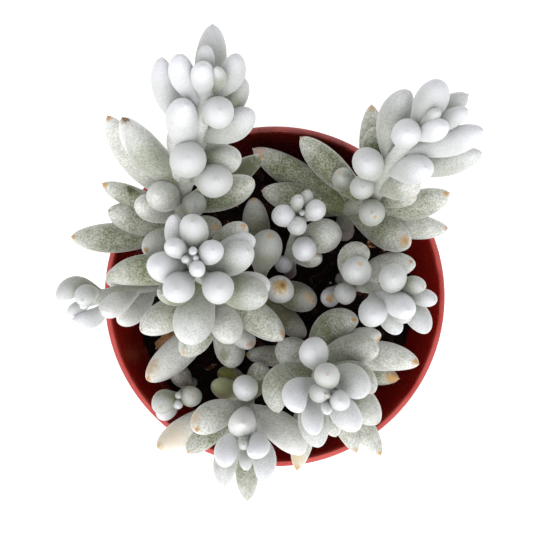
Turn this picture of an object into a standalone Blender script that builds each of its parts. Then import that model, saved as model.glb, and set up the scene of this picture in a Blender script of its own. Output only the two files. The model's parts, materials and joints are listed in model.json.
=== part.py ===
"""Potted cocoon plant: a succulent with felted, spindle-shaped leaves in a round red plastic pot.

Metres, +Z up. The origin is the middle of the pot's foot. +Y is the back of the pot, where two
tall shoots lean over the lip. Lengths below are in millimetres and become metres in each mesh.
"""

import math
import random

import bmesh
import bpy
import numpy as np

MM = 0.001

# Driving dimensions of the pot
POT_HEIGHT = 88.0
LIP_RADIUS = 50.0
LIP_WIDTH = 2.0
FOOT_RADIUS = 35.0
WALL = 1.6
COLLAR_HEIGHT = 13.0
COLLAR_STEP = 1.4
FLOOR_THICKNESS = 2.2
DRAIN_HOLES = 6
DRAIN_RADIUS = 4.0
DRAIN_RING = 24.0

# Driving dimensions of the soil and of the stems in it
SOIL_BELOW_LIP = 25.0
STEM_DEPTH = 11.0
CLEARANCE = 0.3

# The leaves were placed as they look from straight above the pot's middle, at this height over the
# lip, with millimetres counted at the lip's own distance
EYE_OVER_LIP = 320.0

# A leaf's form. Its widest place is a share of its length, and the bow of its back is one too. The
# root of an old leaf and the slim neck of a young one are shares of its width. Leaves that grow this
# far below the stem's top are old. A tip is a half circle at a power of 0.5, and sharper above it.
# An old leaf fills out from its root at the flare's power. A leaf's reach in the view is found in
# this many rounds, at this many places along its front.
OLD_BELLY = 0.57
YOUNG_BELLY = 0.65
ROOT_THICKNESS = 0.34
NECK_THICKNESS = 0.26
YOUNG_STEM = 24.0
OLD_TIP = 0.59
YOUNG_TIP = 0.49
ROOT_FLARE = 1.9
BOW = {"upright": 0.15, "spread": 0.08, "under": 0.05}
REACH_ROUNDS = 8
FRONT_PLACES = 12

# Each shoot has a stem, as (x, y, height) rows from the soil up, the stem's thickness at its foot
# and top, and its leaves. A spread leaf's row gives its tip and an upright leaf's row gives the
# middle of the round that it shows from above: x, y, height of the tip over the lip, height of
# the root on the stem, width, and for a bent leaf how far it sweeps to its left. The leaves in
# the last list are spread ones on a stem's underside, which other leaves hide from above.
SHOOTS = {
    "shoot_back_left": {
        "stem": [(-29, 11, -25), (-29.5, 15, -10), (-29, 20, 3), (-27.5, 29, 16),
                 (-23.5, 41, 34), (-21.2, 53, 46), (-19.7, 60.5, 53)],
        "thick": (6.0, 3.6),
        "upright": [
            (-16.4, 54, 60, 44, 9.3), (-25.3, 40, 50, 29, 10.8), (-17.5, 34, 46, 25, 10.3),
            (-23.5, 27, 28, 12, 7.2),
        ],
        "spread": [
            (-18.1, 80.2, 50, 44, 9.2, -0.5), (-20.3, 73.9, 59, 51, 5.4), (-21.2, 69.1, 63, 49, 7.2),
            (-28.2, 71.6, 59, 48, 8, 1.5), (-33.2, 70.4, 51, 41, 8, 3), (-10.8, 71.9, 57, 50, 7.8, -2),
            (-8.3, 64.2, 48, 43, 7.4, -1.6), (-5.8, 55, 50, 40, 9.3, -1.4),
            (-9.3, 40.7, 42, 29, 9.8, 0.6), (-5.6, 34.2, 28, 13, 9.4, -1), (-3.2, 41.2, 14, 10, 7.4),
            (-42.5, 50.6, 36, 22, 10, 1.8), (-45, 52.7, 30, 25, 9.4, 2), (-49.1, 53, 24, 15, 9.4, 2),
            (-37.6, 30.2, 32, 15, 9.2), (-41, 27.8, 26, 8, 8.4), (-50.5, 33, 17, 8, 6.4),
            (-49.3, 25.3, 15, 3, 8.8, 0.5), (-59.8, 17.4, 12, 2, 9.2, 1), (-15.3, 21, 8, -5, 7.4, 0.8),
            (-38.4, 12, 15, 3, 7.2, -0.4), (-26, 58.2, 58, 34, 9.9, 2), (-17.1, 67.5, 62, 51, 3.8, -2),
        ],
        "under": [
            (-17.8, 74, 40, 42, 7), (-28.5, 65, 37, 38, 7.2), (-12, 61, 37, 36, 7),
            (-29.5, 51, 31, 26, 7.6), (-13.5, 49, 28, 24, 7.6),
        ],
    },
    "shoot_middle_left": {
        "stem": [(-16, -8, -25), (-17, -6, -8), (-18.5, 0, 10), (-22, 7, 27), (-24.5, 11.3, 39)],
        "thick": (6.0, 3.6),
        "upright": [
            (-26.1, 10.8, 46, 38, 2.4), (-23.9, 13.3, 46, 38, 2.6), (-23, 11.2, 45, 38, 1.8),
            (-22.6, 8, 47, 37, 4.9), (-18.5, 13, 46, 34, 7.4), (-29.3, 14.3, 47, 35, 6.1),
            (-23.9, 20, 46, 31, 8.7), (-28.4, 2.4, 47, 30, 9.2), (-16.5, 2.3, 46, 28, 9.4),
            (-32.8, 8.7, 43, 26, 9.6),
        ],
        "spread": [
            (-5.9, 14.2, 41, 26, 9.8), (-29.8, 24.3, 39, 27, 7, 1.7), (-35, 1.8, 33, 22, 7.5, 2),
            (-1.5, -0.8, 36, 21, 10.8), (-8.1, 21.6, 33, 18, 9.2, 1.4), (-5.3, 17.2, 35, 21, 8.6, 2),
            (-0.7, 3.4, 28, 16, 8.5), (-26.5, -14.7, 32, 18, 11.9), (-27.2, -17.9, 20, 9, 9.4, 1),
            (-37.7, -24.8, 7, -9, 9.6), (-39.8, -10.4, 25, 14, 9.5), (-12.8, -14.4, 23, 8, 9.8, 1),
            (3, -13, 16, 10, 9.6, 1.4), (-49.6, 5, 24, 18, 9.2, -3.5), (-6.3, -15.3, 4, -10, 6.6, 0.8),
            (-12, -21.4, 0, -13, 9, 0.8),
        ],
        "under": [(-28, -6, 14, 4, 7.6), (-9, 7, 20, 10, 7.6), (-27, 13, 25, 14, 7.4)],
    },
    "shoot_left": {
        "stem": [(-34, 2, -25), (-35, 3, -12), (-38, 3, 0), (-44, 2, 12), (-50, 0.4, 19),
                 (-53, -0.8, 22)],
        "thick": (4.6, 2.8),
        "upright": [],
        "spread": [
            (-64.4, -0.7, 26, 19, 6.5, -3), (-58.3, -1.7, 31, 19, 6.1, -1.4), (-57, -3.2, 28, 22, 2.6),
            (-61.1, -5.2, 24, 21, 4), (-59.8, -7.3, 25, 17, 5.8, 2.8), (-50.9, -5.6, 24, 3, 8.2, -0.8),
            (-46, -8, 10, -8, 7.4, 0.8), (-49.7, 4.8, 11, -6, 7.8, -1.4),
        ],
        "under": [(-58.5, -1.5, 15, 15, 5)],
    },
    "shoot_front_left": {
        "stem": [(-24.3, -25.3, -25), (-26, -27.4, -10), (-28, -29.6, 3)],
        "thick": (3.4, 2.4),
        "upright": [(-24.4, -29.4, 10, -1, 6.2), (-28.1, -29, 9, 3, 2.2)],
        "spread": [
            (-35.4, -33.7, 11, -1, 7, -1), (-34.2, -35.8, 8, -3, 5.6), (-28.6, -33, 9, 2, 3),
            (-29.4, -20.8, -5, -17, 6),
        ],
        "under": [],
    },
    "shoot_front": {
        "stem": [(-8, -27, -25), (-8, -29.5, -12), (-8.2, -32.5, 3), (-8.5, -37, 16),
                 (-9.2, -43, 27)],
        "thick": (5.0, 3.0),
        "upright": [(-8.6, -26.7, 22, -4, 7.6)],
        "spread": [
            (-4.3, -18.8, 3, -10, 7.2, -1.2), (-15.3, -50.4, 31, 20, 7.1, -1.5),
            (-7, -48.1, 34, 21, 6.5, 3), (-3.7, -54.8, 27, 17, 7.2, 2.5), (-9, -45, 33, 26, 2.9),
            (-8.2, -51.2, 30, 25, 4), (-14.9, -56, 22, 16, 7.4, -2), (-8, -60.1, 16, 12, 7.3),
            (-24.2, -39.9, 20, 5, 9.4, -2), (-25.8, -46.2, 12, 1, 8, -1),
            (-34.9, -44.3, 12.5, -1, 9.6), (-18.7, -25.1, -2, -13, 6.4, 0.4),
            (-17, -21.7, -9, -17, 6.2, -1), (9, -46.3, 18, 4, 9.5, 1.3), (-10.7, -41.4, 31, 3, 8.1),
        ],
        "under": [(-15.5, -48, 14, 15, 6.4), (-2.5, -47.5, 15, 14, 6.4)],
    },
    "shoot_front_middle": {
        "stem": [(11, -18, -25), (11.5, -19, -8), (12.5, -21.5, 10), (14, -26, 26),
                 (15.2, -29, 35)],
        "thick": (6.0, 3.4),
        "upright": [
            (15.3, -23.2, 44, 29, 7.7), (15.5, -29, 42, 34, 1.8), (19.1, -30.6, 44, 31, 6),
            (11.5, -16.3, 36, 18, 8.9),
        ],
        "spread": [
            (13.1, -31.4, 41, 31, 6, -1.2), (15.4, -34.7, 41, 33, 3.3), (6.6, -35, 40, 23, 7.8, -4),
            (0.1, -34.8, 26, 14, 9.2, -5.6), (12, -41, 38, 27, 6.6, -1.7),
            (13.2, -44.9, 28, 19, 9.3, -1.8), (24.8, -39.6, 36, 25, 8.7),
            (27.3, -29.8, 36, 22, 9.6, 3), (29.8, -28.5, 28, 17, 8, 3.2),
            (30.9, -37.7, 27, 17, 9.7, 1.2), (18, -41.5, 21, 14, 7.3), (24, -45.8, 14, 8, 7, 0.4),
            (31.1, -46.4, 12, 5, 8, 0.5), (6.5, -50.9, 9, 0, 7.6), (31.1, -15.7, 24, 8, 9.6, 2.2),
            (42.5, -19.8, 12, 1, 9, 2.4), (36.6, -24.1, -1, -9, 7.5), (25.1, -6.2, 14, -2, 9.4, 4),
            (13.2, -10.3, 3, -9, 5), (31.5, -10.9, 13, 2, 8, 1), (0.2, -14.3, 8, -6, 9.5),
            (-8.6, -17, -7, -15, 6.2),
        ],
        "under": [(21, -35, 18, 15, 6.8), (5, -29.5, 16, 10, 7)],
    },
    "shoot_right": {
        "stem": [(20, 5, -25), (21, 4.6, -12), (24, 3.5, 2), (29, 2.3, 14), (38, 0, 25)],
        "thick": (4.8, 3.0),
        "upright": [
            (24, 7.5, 25, 6, 8.7), (34.6, 5.3, 35, 17, 8.3), (28.8, -4.9, 31, 14, 8.5),
            (20.6, 0.9, 13, -2, 6.4), (16.3, -0.3, 2, -13, 5.8),
        ],
        "spread": [
            (28.3, 14.5, 15, -1, 8.4, 3.6), (44.6, 3, 31, 21, 5.8, 1), (47.8, -1.6, 31, 23, 5.4, 0.5),
            (40.9, -5.3, 36, 13, 7.8), (39.8, -7.4, 30, 20, 6, -0.6), (45.1, -11.2, 28, 19, 7.5, 1.5),
            (36.8, -11.3, 23, 13, 6.8), (41.7, 9.5, 9, -2, 8, 1.6),
        ],
        "under": [(40.5, -2, 14, 14, 6)],
    },
    "shoot_back_right": {
        "stem": [(20.5, 19, -25), (20.5, 21, -14), (22, 25.5, -3), (29, 29.5, 12), (33, 37.5, 26),
                 (37, 43, 36), (41, 48, 43)],
        "thick": (6.0, 3.4),
        "upright": [
            (38.5, 47.7, 52, 34, 8.6), (28.4, 24.5, 22, 4, 7.9), (27.2, 39, 38, 18, 9.3),
            (25.6, 31.9, 26, 8, 7.2), (19.9, 34.6, 17, -3, 6.2),
        ],
        "spread": [
            (49.3, 64.2, 50, 40, 10, -0.3), (57, 59.3, 42, 37, 7.4, 0.8), (57, 54.8, 48, 41, 6),
            (48.4, 54.7, 52, 43, 4.4), (51, 50.4, 53, 40, 6.8), (39.9, 60.8, 40, 28, 9.6, 2.4),
            (61.7, 48.9, 46, 35, 8.6, -0.9), (61, 42.1, 35, 26, 8.4, -0.8), (42.9, 33.2, 32, 16, 8.9),
            (41.9, 29, 20, 7, 7.2, 0.8), (51.7, 30.3, 14, 5, 9, -2.2), (50.9, 19.8, 9, 0, 8, -1.7),
            (40.1, 14.6, 14, -3, 10.2), (29, 50, 26, 15, 7.8), (28.3, 56.2, 19, 10, 7.6, -0.4),
            (7.3, 46.8, 8, 7, 8.8), (-6.4, 43.2, -2, -2, 8.8), (-4.2, 31, 2, -3, 9),
            (46.6, 37.6, 44, 25, 9.2),
        ],
        "under": [(50, 56, 33, 33, 7), (49.5, 45.5, 28, 27, 7.2), (37.5, 50, 24, 22, 7)],
    },
    "shoot_centre": {
        "stem": [(4.5, 7, -25), (4.5, 12, -8), (6, 18, 4), (7.6, 23.6, 13)],
        "thick": (4.0, 2.4),
        "upright": [
            (2.5, 23.7, 22, 9, 6.8), (12, 25.3, 22, 10, 6.1), (8, 24.5, 19, 12, 1.9),
            (6.5, 20.6, 21, 8, 5.7), (8.7, 13.8, 15, -2, 7.2), (2.6, 9.4, -5, -16, 5.2),
        ],
        "spread": [
            (7.3, 29.9, 22, 12, 4, 0.8), (10.1, 31.4, 17, 10, 4.6), (14.2, 11.5, 4, -8, 5.4, -0.6),
            (20.6, 19.3, 8, 0, 10.3),
        ],
        "under": [],
    },
    "shoot_low": {
        "stem": [(-4, 3, -25), (-3.8, 4.5, -3)],
        "thick": (4.6, 3.6),
        "upright": [(1.5, 1.9, 11, -6, 8.3)],
        "spread": [
            (-0.2, 19.8, 9, -4, 10, 1.2), (-6.3, 29.4, -1, -12, 8.4), (12.9, -2.5, -2, -11, 8.8),
            (9.2, -12.2, -5, -15, 6.8, -1),
        ],
        "under": [],
    },
}

KINDS = ("upright", "spread", "under")


def seen(x, y, height):
    """Turn a place read from above, at lip scale, into its real place for a height over the lip."""
    shrink = (EYE_OVER_LIP - height) / EYE_OVER_LIP
    return np.array([x * shrink, y * shrink, POT_HEIGHT + height])


def smooth_line(points, steps):
    """A Catmull-Rom curve through the points, with this many steps between two of them."""
    ends = [2 * points[0] - points[1]] + list(points) + [2 * points[-1] - points[-2]]
    line = []
    for a, b, c, d in zip(ends, ends[1:], ends[2:], ends[3:]):
        for step in range(steps):
            t = step / steps
            line.append(0.5 * (2 * b + (c - a) * t + (2 * a - 5 * b + 4 * c - d) * t * t
                               + (3 * b - a - 3 * c + d) * t ** 3))
    line.append(points[-1])
    return np.array(line)


def stem_line(shoot, steps=6):
    """The middle line of a shoot's stem, from the soil's surface to its top."""
    return smooth_line([seen(*row) for row in shoot["stem"]], steps)


def stem_at(line, height):
    """The place on a stem's middle line at a height over the lip."""
    z = POT_HEIGHT + height
    return np.array([np.interp(z, line[:, 2], line[:, axis]) for axis in range(3)])


def plan(point):
    """The inverse of seen, for real places: where they look to be from above, at lip scale."""
    return point[..., :2] * (EYE_OVER_LIP / (EYE_OVER_LIP - point[..., 2:] + POT_HEIGHT))


def belly_share(young):
    """Where a leaf is widest, as a share of its length."""
    return OLD_BELLY + (YOUNG_BELLY - OLD_BELLY) * young


def leaf_thickness(share, young):
    """A leaf's thickness along its length, as a share of its width: a spindle with a round end. A
    young leaf has a slim neck."""
    belly = belly_share(young)
    if share < belly:
        t = share / belly
        stout = 1 - (1 - ROOT_THICKNESS) * (1 - t) ** ROOT_FLARE
        slim = NECK_THICKNESS + (1 - NECK_THICKNESS) * t * t * (3 - 2 * t)
        return stout + (slim - stout) * young
    front = (share - belly) / (1 - belly)
    return max(0.0, 1 - front * front) ** (OLD_TIP + (YOUNG_TIP - OLD_TIP) * young)


def leaf_axis(line, kind, row):
    """Root, control point and tip of a leaf's middle line, its width, and how young it is. The tip is
    moved until the leaf's round outline reaches as far in the view as the row says."""
    x, y, tip_height, root_height, width = row[:5]
    sweep = row[5] if len(row) > 5 else 0.0
    top = line[-1][2] - POT_HEIGHT
    young = 1.0 if kind == "upright" else min(1.0, max(0.0, 1 - (top - root_height) / YOUNG_STEM))
    root = stem_at(line, root_height)
    away = np.array([x, y]) - plan(root)
    distance = np.linalg.norm(away)
    away /= distance
    left = np.array([-away[1], away[0], 0.0])
    bow = BOW[kind] * min(1.0, distance / width)
    outline_reach = distance + width / 2 if kind == "upright" else distance
    reach = outline_reach - width / 4
    shares = np.linspace(belly_share(young), 1, FRONT_PLACES)
    halves = np.array([width / 2 * leaf_thickness(share, young) for share in shares])
    for _ in range(REACH_ROUNDS):
        tip = seen(*(plan(root) + away * reach), tip_height)
        chord = tip - root
        run = chord[:2] @ away
        below = np.array([away[0] * chord[2], away[1] * chord[2], -run])
        control = (root + tip) / 2 + 2 * bow * below + 2 * sweep * left
        s = shares[:, None]
        curve = (1 - s) ** 2 * root + 2 * s * (1 - s) * control + s * s * tip
        reach += outline_reach - max((plan(curve) - plan(root)) @ away + halves)
    real_width = width * (EYE_OVER_LIP - (root_height + 2 * tip_height) / 3) / EYE_OVER_LIP
    return root, control, tip, real_width, young


# Build from here

# How finely the turned pot, the stems and the leaves are made: sides round them, steps between two
# rows of a stem, and places along a leaf. A leaf thinner than the first width has five sides, and
# one thinner than the second has six.
POT_SIDES = 36
DRAIN_SIDES = 12
STEM_SIDES = 6
STEM_STEPS = 2
LEAF_RINGS = {
    "upright": (0.0, 0.34, 0.64, 0.9),
    "spread": (0.0, 0.42, 0.84),
    "under": (0.0, 0.42, 0.84),
}
SMALL_LEAF_RINGS = (0.0, 0.7)
THIN_LEAF = 4.2
MIDDLING_LEAF = 7.6

# The pot's small edges, and the radii that the driving dimensions give
FOOT_BEVEL = 1.2
LIP_BEVEL = 0.4
FLOOR_FILLET = 1.8
INNER_LIP = LIP_RADIUS - LIP_WIDTH
INNER_FOOT = FOOT_RADIUS - WALL

# The soil's surface: rings of points, the height of its waves, and how near a stem it lies level
SOIL_TOP = POT_HEIGHT - SOIL_BELOW_LIP
SOIL_RINGS = (10.0, 21.0, 31.0, 38.5)
SOIL_RELIEF = 1.1
LEVEL_ROUND_STEM = (4.0, 8.0)

# How far a cutter runs past the face that it cuts, and points closer than the weld become one
CUT_MARGIN = 3.0
WELD = 0.005

UP = np.array([0.0, 0.0, 1.0])
BACK = np.array([0.0, 1.0, 0.0])

FELT_GREEN = (0.50, 0.55, 0.48, 1)
POT_RED = (0.30, 0.012, 0.010, 1)
SOIL_BROWN = (0.022, 0.013, 0.009, 1)


def clear_scene():
    for item in list(bpy.data.objects):
        bpy.data.objects.remove(item, do_unlink=True)


def material(name, colour, roughness):
    made = bpy.data.materials.new(name)
    made.use_nodes = True
    shader = made.node_tree.nodes["Principled BSDF"]
    shader.inputs["Base Color"].default_value = colour
    shader.inputs["Roughness"].default_value = roughness
    shader.inputs["Metallic"].default_value = 0.0
    return made


def add_object(name, shape):
    """Put a shape made in millimetres into the scene, in metres, with its faces pointing out."""
    bmesh.ops.triangulate(shape, faces=shape.faces)
    bmesh.ops.recalc_face_normals(shape, faces=shape.faces)
    bmesh.ops.scale(shape, vec=(MM, MM, MM), verts=shape.verts)
    mesh = bpy.data.meshes.new(name)
    shape.to_mesh(mesh)
    shape.free()
    thing = bpy.data.objects.new(name, mesh)
    bpy.context.scene.collection.objects.link(thing)
    return thing


def unit(vector):
    return vector / np.linalg.norm(vector)


def ring(centre, along, radius, sides, reference=BACK, turn=0.0):
    """Points of a circle round a direction, counted from the side that the reference gives."""
    side = unit(np.cross(reference, along))
    other = np.cross(along, side)
    angles = [turn + 2 * math.pi * k / sides for k in range(sides)]
    return [centre + radius * (math.cos(a) * side + math.sin(a) * other) for a in angles]


def skin(rings, tip):
    """A closed shape over rings of points: a flat face on the first ring, and a point at the tip."""
    shape = bmesh.new()
    loops = [[shape.verts.new(point) for point in points] for points in rings]
    shape.faces.new(loops[0])
    for low, high in zip(loops, loops[1:]):
        for k in range(len(low)):
            after = (k + 1) % len(low)
            shape.faces.new((low[k], low[after], high[after], high[k]))
    apex = shape.verts.new(tip)
    last = loops[-1]
    for k in range(len(last)):
        shape.faces.new((last[k], last[(k + 1) % len(last)], apex))
    return shape


def stem_shape(shoot):
    """A tapered round stem: straight down in its hole in the soil, and rounded off at the top."""
    line = stem_line(shoot, STEM_STEPS)
    foot, top = (thickness / 2 for thickness in shoot["thick"])
    radii = np.linspace(foot, top, len(line))
    rings = [ring(line[0] - STEM_DEPTH * UP, UP, foot, STEM_SIDES),
             ring(line[0], UP, foot, STEM_SIDES)]
    for before, here, after, radius in zip(line, line[1:], line[2:], radii[1:]):
        rings.append(ring(here, unit(after - before), radius, STEM_SIDES))
    end = unit(line[-1] - line[-2])
    rings.append(ring(line[-1], end, top, STEM_SIDES))
    return skin(rings, line[-1] + end * top)


def leaf_shape(line, kind, row, turn):
    """A felted spindle leaf: it bows upwards, thickens to its belly and ends in a blunt round tip."""
    root, control, tip, width, young = leaf_axis(line, kind, row)
    shares = SMALL_LEAF_RINGS if width < THIN_LEAF else LEAF_RINGS[kind]
    sides = 5 + (width >= THIN_LEAF) + (width >= MIDDLING_LEAF)
    chord = tip - root
    upper_side = unit(np.cross(np.cross(chord, UP), chord))
    rings = []
    for share in shares:
        rest = 1 - share
        centre = rest * rest * root + 2 * share * rest * control + share * share * tip
        along = unit(rest * (control - root) + share * (tip - control))
        radius = width / 2 * leaf_thickness(share, young)
        rings.append(ring(centre, along, radius, sides, upper_side, turn))
    return skin(rings, tip)


def applied(thing):
    """Turn an object's modifiers into its own mesh."""
    bpy.context.view_layer.update()
    result = thing.evaluated_get(bpy.context.evaluated_depsgraph_get())
    mesh = bpy.data.meshes.new_from_object(result)
    thing.modifiers.clear()
    thing.data = mesh


def combine(thing, others, operation):
    """Union or cut an object with many others in one Boolean, and remove the others."""
    group = bpy.data.collections.new(thing.name + "_group")
    bpy.context.scene.collection.children.link(group)
    for other in others:
        bpy.context.scene.collection.objects.unlink(other)
        group.objects.link(other)
        other.hide_render = True
        other.display_type = "WIRE"
    change = thing.modifiers.new("combine", "BOOLEAN")
    change.operand_type = "COLLECTION"
    change.collection = group
    change.operation = operation
    change.solver = "EXACT"
    applied(thing)
    for other in others:
        bpy.data.objects.remove(other, do_unlink=True)
    bpy.data.collections.remove(group)


def bodies(shape):
    """The faces of a shape, in groups that hang together."""
    unread = set(shape.faces)
    groups = []
    while unread:
        group = []
        waiting = [unread.pop()]
        while waiting:
            face = waiting.pop()
            group.append(face)
            neighbours = {near for edge in face.edges for near in edge.link_faces} & unread
            unread -= neighbours
            waiting.extend(neighbours)
        groups.append(group)
    return groups


def box_volume(faces):
    """Volume of the box round some faces."""
    corners = np.array([vert.co for face in faces for vert in face.verts])
    return np.prod(corners.max(axis=0) - corners.min(axis=0))


def keep_outer_body(thing):
    """Fill the hollows that joining leaves closed off, by keeping only the outermost skin."""
    shape = bmesh.new()
    shape.from_mesh(thing.data)
    bmesh.ops.triangulate(shape, faces=shape.faces)
    bmesh.ops.remove_doubles(shape, verts=shape.verts, dist=WELD * MM)
    for group in sorted(bodies(shape), key=box_volume)[:-1]:
        bmesh.ops.delete(shape, geom=group, context="FACES")
    shape.to_mesh(thing.data)
    shape.free()


def finish(thing, look, sharp_angle):
    """Give an object its material, and shade it smooth except over edges sharper than the angle."""
    thing.data.materials.clear()
    thing.data.materials.append(look)
    thing.data.shade_smooth()
    thing.data.set_sharp_from_angle(angle=math.radians(sharp_angle))


def make_shoot(name, shoot, turns):
    """One leafy stem: its leaves grow from its middle line and are fused with it in one body."""
    line = stem_line(shoot)
    stem = add_object(name, stem_shape(shoot))
    leaves = []
    for kind in KINDS:
        for row in shoot[kind]:
            shape = leaf_shape(line, kind, row, turns.uniform(0, math.pi))
            leaves.append(add_object("leaf", shape))
    combine(stem, leaves, "UNION")
    keep_outer_body(stem)
    finish(stem, material(name + "_felt", FELT_GREEN, roughness=0.85), sharp_angle=50)


def turned(profile):
    """A solid turned round +Z from (radius, height) points that start and end on the axis."""
    shape = bmesh.new()
    loops = []
    for radius, height in profile[1:-1]:
        points = ring(height * UP, UP, radius, POT_SIDES)
        loops.append([shape.verts.new(point) for point in points])
    for low, high in zip(loops, loops[1:]):
        for k in range(POT_SIDES):
            after = (k + 1) % POT_SIDES
            shape.faces.new((low[k], low[after], high[after], high[k]))
    for end, loop in ((profile[0], loops[0]), (profile[-1], loops[-1])):
        middle = shape.verts.new((0.0, 0.0, end[1]))
        for k in range(POT_SIDES):
            shape.faces.new((loop[k], loop[(k + 1) % POT_SIDES], middle))
    return shape


def inner_radius(height):
    """Radius of the pot's inner wall, which tapers from the lip to the floor."""
    return np.interp(height, [FLOOR_THICKNESS, POT_HEIGHT], [INNER_FOOT, INNER_LIP])


def cutter(x, y, low, high, radius, sides):
    """An upright cylinder that cuts a hole."""
    shape = bmesh.new()
    rings = [ring(np.array([x, y, z]), UP, radius, sides) for z in (low, high)]
    loops = [[shape.verts.new(point) for point in points] for points in rings]
    for k in range(sides):
        after = (k + 1) % sides
        shape.faces.new((loops[0][k], loops[0][after], loops[1][after], loops[1][k]))
    for loop in loops:
        shape.faces.new(loop)
    return add_object("cutter", shape)


def make_pot():
    """A moulded nursery pot: tapered wall, stepped collar, flat lip and drain holes in its floor."""
    collar_foot = POT_HEIGHT - COLLAR_HEIGHT
    under_collar = inner_radius(collar_foot) + WALL
    profile = [
        (0, 0), (FOOT_RADIUS - FOOT_BEVEL, 0), (FOOT_RADIUS, FOOT_BEVEL),
        (under_collar, collar_foot), (under_collar + COLLAR_STEP, collar_foot),
        (LIP_RADIUS, POT_HEIGHT - LIP_BEVEL), (LIP_RADIUS - LIP_BEVEL, POT_HEIGHT),
        (INNER_LIP + LIP_BEVEL, POT_HEIGHT), (INNER_LIP, POT_HEIGHT - LIP_BEVEL),
        (inner_radius(FLOOR_THICKNESS + FLOOR_FILLET), FLOOR_THICKNESS + FLOOR_FILLET),
        (INNER_FOOT - FLOOR_FILLET, FLOOR_THICKNESS), (0, FLOOR_THICKNESS),
    ]
    pot = add_object("pot", turned(profile))
    drains = []
    for k in range(DRAIN_HOLES):
        angle = 2 * math.pi * (k + 0.5) / DRAIN_HOLES
        x = DRAIN_RING * math.cos(angle)
        y = DRAIN_RING * math.sin(angle)
        top = FLOOR_THICKNESS + CUT_MARGIN
        drains.append(cutter(x, y, -CUT_MARGIN, top, DRAIN_RADIUS, DRAIN_SIDES))
    combine(pot, drains, "DIFFERENCE")
    finish(pot, material("pot_plastic", POT_RED, roughness=0.32), sharp_angle=35)


def soil_height(x, y, stems):
    """The soil's uneven surface, which lies level where a stem stands in it."""
    wave = math.sin(0.31 * x + 0.9) * math.cos(0.27 * y - 0.4) + 0.5 * math.sin(0.62 * y + 0.21 * x)
    nearest = min(math.hypot(x - stem[0], y - stem[1]) for stem in stems)
    fade = np.interp(nearest, LEVEL_ROUND_STEM, [0.0, 1.0])
    return SOIL_TOP + SOIL_RELIEF * wave * fade


def make_soil():
    """The potting mix: it fills the pot to below the lip, with a hole for each stem."""
    feet = [seen(*shoot["stem"][0]) for shoot in SHOOTS.values()]
    bottom = FLOOR_THICKNESS + CLEARANCE
    above_fillet = FLOOR_THICKNESS + FLOOR_FILLET + CLEARANCE
    edge = inner_radius(SOIL_TOP) - CLEARANCE
    profile = [
        (0, bottom), (INNER_FOOT - FLOOR_FILLET - CLEARANCE, bottom),
        (inner_radius(above_fillet) - CLEARANCE, above_fillet), (edge, SOIL_TOP),
    ]
    profile += [(radius, SOIL_TOP) for radius in reversed(SOIL_RINGS)] + [(0, SOIL_TOP)]
    shape = turned(profile)
    for vert in shape.verts:
        if vert.co.z > SOIL_TOP - CLEARANCE and math.hypot(vert.co.x, vert.co.y) < edge - CLEARANCE:
            vert.co.z = soil_height(vert.co.x, vert.co.y, feet)
    soil = add_object("soil", shape)
    holes = []
    for foot, shoot in zip(feet, SHOOTS.values()):
        radius = shoot["thick"][0] / 2 + CLEARANCE
        low = foot[2] - STEM_DEPTH - CLEARANCE
        high = foot[2] + CUT_MARGIN
        holes.append(cutter(foot[0], foot[1], low, high, radius, STEM_SIDES))
    combine(soil, holes, "DIFFERENCE")
    finish(soil, material("potting_mix", SOIL_BROWN, roughness=0.95), sharp_angle=40)


clear_scene()
make_pot()
make_soil()
leaf_turns = random.Random(7)
for shoot_name, shoot_rows in SHOOTS.items():
    make_shoot(shoot_name, shoot_rows, leaf_turns)
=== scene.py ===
import json
import math
import random

import bmesh
import bpy
import numpy as np
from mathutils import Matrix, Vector, noise

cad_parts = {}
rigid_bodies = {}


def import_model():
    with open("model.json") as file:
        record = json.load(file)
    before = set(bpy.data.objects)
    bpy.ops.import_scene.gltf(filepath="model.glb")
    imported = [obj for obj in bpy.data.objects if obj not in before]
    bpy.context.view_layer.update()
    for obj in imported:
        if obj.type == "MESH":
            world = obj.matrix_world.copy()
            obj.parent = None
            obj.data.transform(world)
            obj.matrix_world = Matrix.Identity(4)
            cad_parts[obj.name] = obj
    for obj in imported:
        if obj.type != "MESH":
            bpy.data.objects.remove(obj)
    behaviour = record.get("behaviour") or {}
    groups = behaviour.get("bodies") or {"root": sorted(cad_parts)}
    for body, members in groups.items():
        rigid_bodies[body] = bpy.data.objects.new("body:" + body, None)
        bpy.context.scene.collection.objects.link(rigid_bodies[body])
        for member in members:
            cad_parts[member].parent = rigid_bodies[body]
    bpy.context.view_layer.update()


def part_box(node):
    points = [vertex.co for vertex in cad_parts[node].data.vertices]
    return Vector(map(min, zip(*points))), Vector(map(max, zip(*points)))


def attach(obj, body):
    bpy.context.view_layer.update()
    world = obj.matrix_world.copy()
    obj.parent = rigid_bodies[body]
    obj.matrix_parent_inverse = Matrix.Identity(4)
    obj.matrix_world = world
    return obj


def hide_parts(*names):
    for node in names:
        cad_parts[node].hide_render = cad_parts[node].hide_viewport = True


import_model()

# Pot
# A small nursery pot, injection moulded in one piece from glossy red plastic. Its wall tapers to the
# foot, a stepped collar stiffens the mouth, and the rolled lip falls away outwards. Water leaves
# through six holes in the floor. Lengths are in millimetres and become metres in each mesh.
MM = 0.001
POT_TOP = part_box("pot")[1]
POT_HEIGHT = POT_TOP[2] / MM
LIP_RADIUS = POT_TOP[0] / MM
LIP_WIDTH = 2.0
FOOT_RADIUS = 35.0
FLOOR_THICKNESS = 2.2
WALL = 1.6
INNER_LIP = LIP_RADIUS - LIP_WIDTH
INNER_FOOT = FOOT_RADIUS - WALL
COLLAR_FOOT = POT_HEIGHT - 13.0
COLLAR_STEP = 1.4
FOOT_BEVEL = 1.2
COLLAR_BEVEL = 0.4
LIP_SIDE = 2.0
LIP_OUTER_ROUND = 0.5
LIP_OUTER_DEPTH = 1.7
LIP_INNER_ROUND = 0.35
LIP_INNER_INSET = 1.5
FLOOR_FILLET = 1.75
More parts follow.
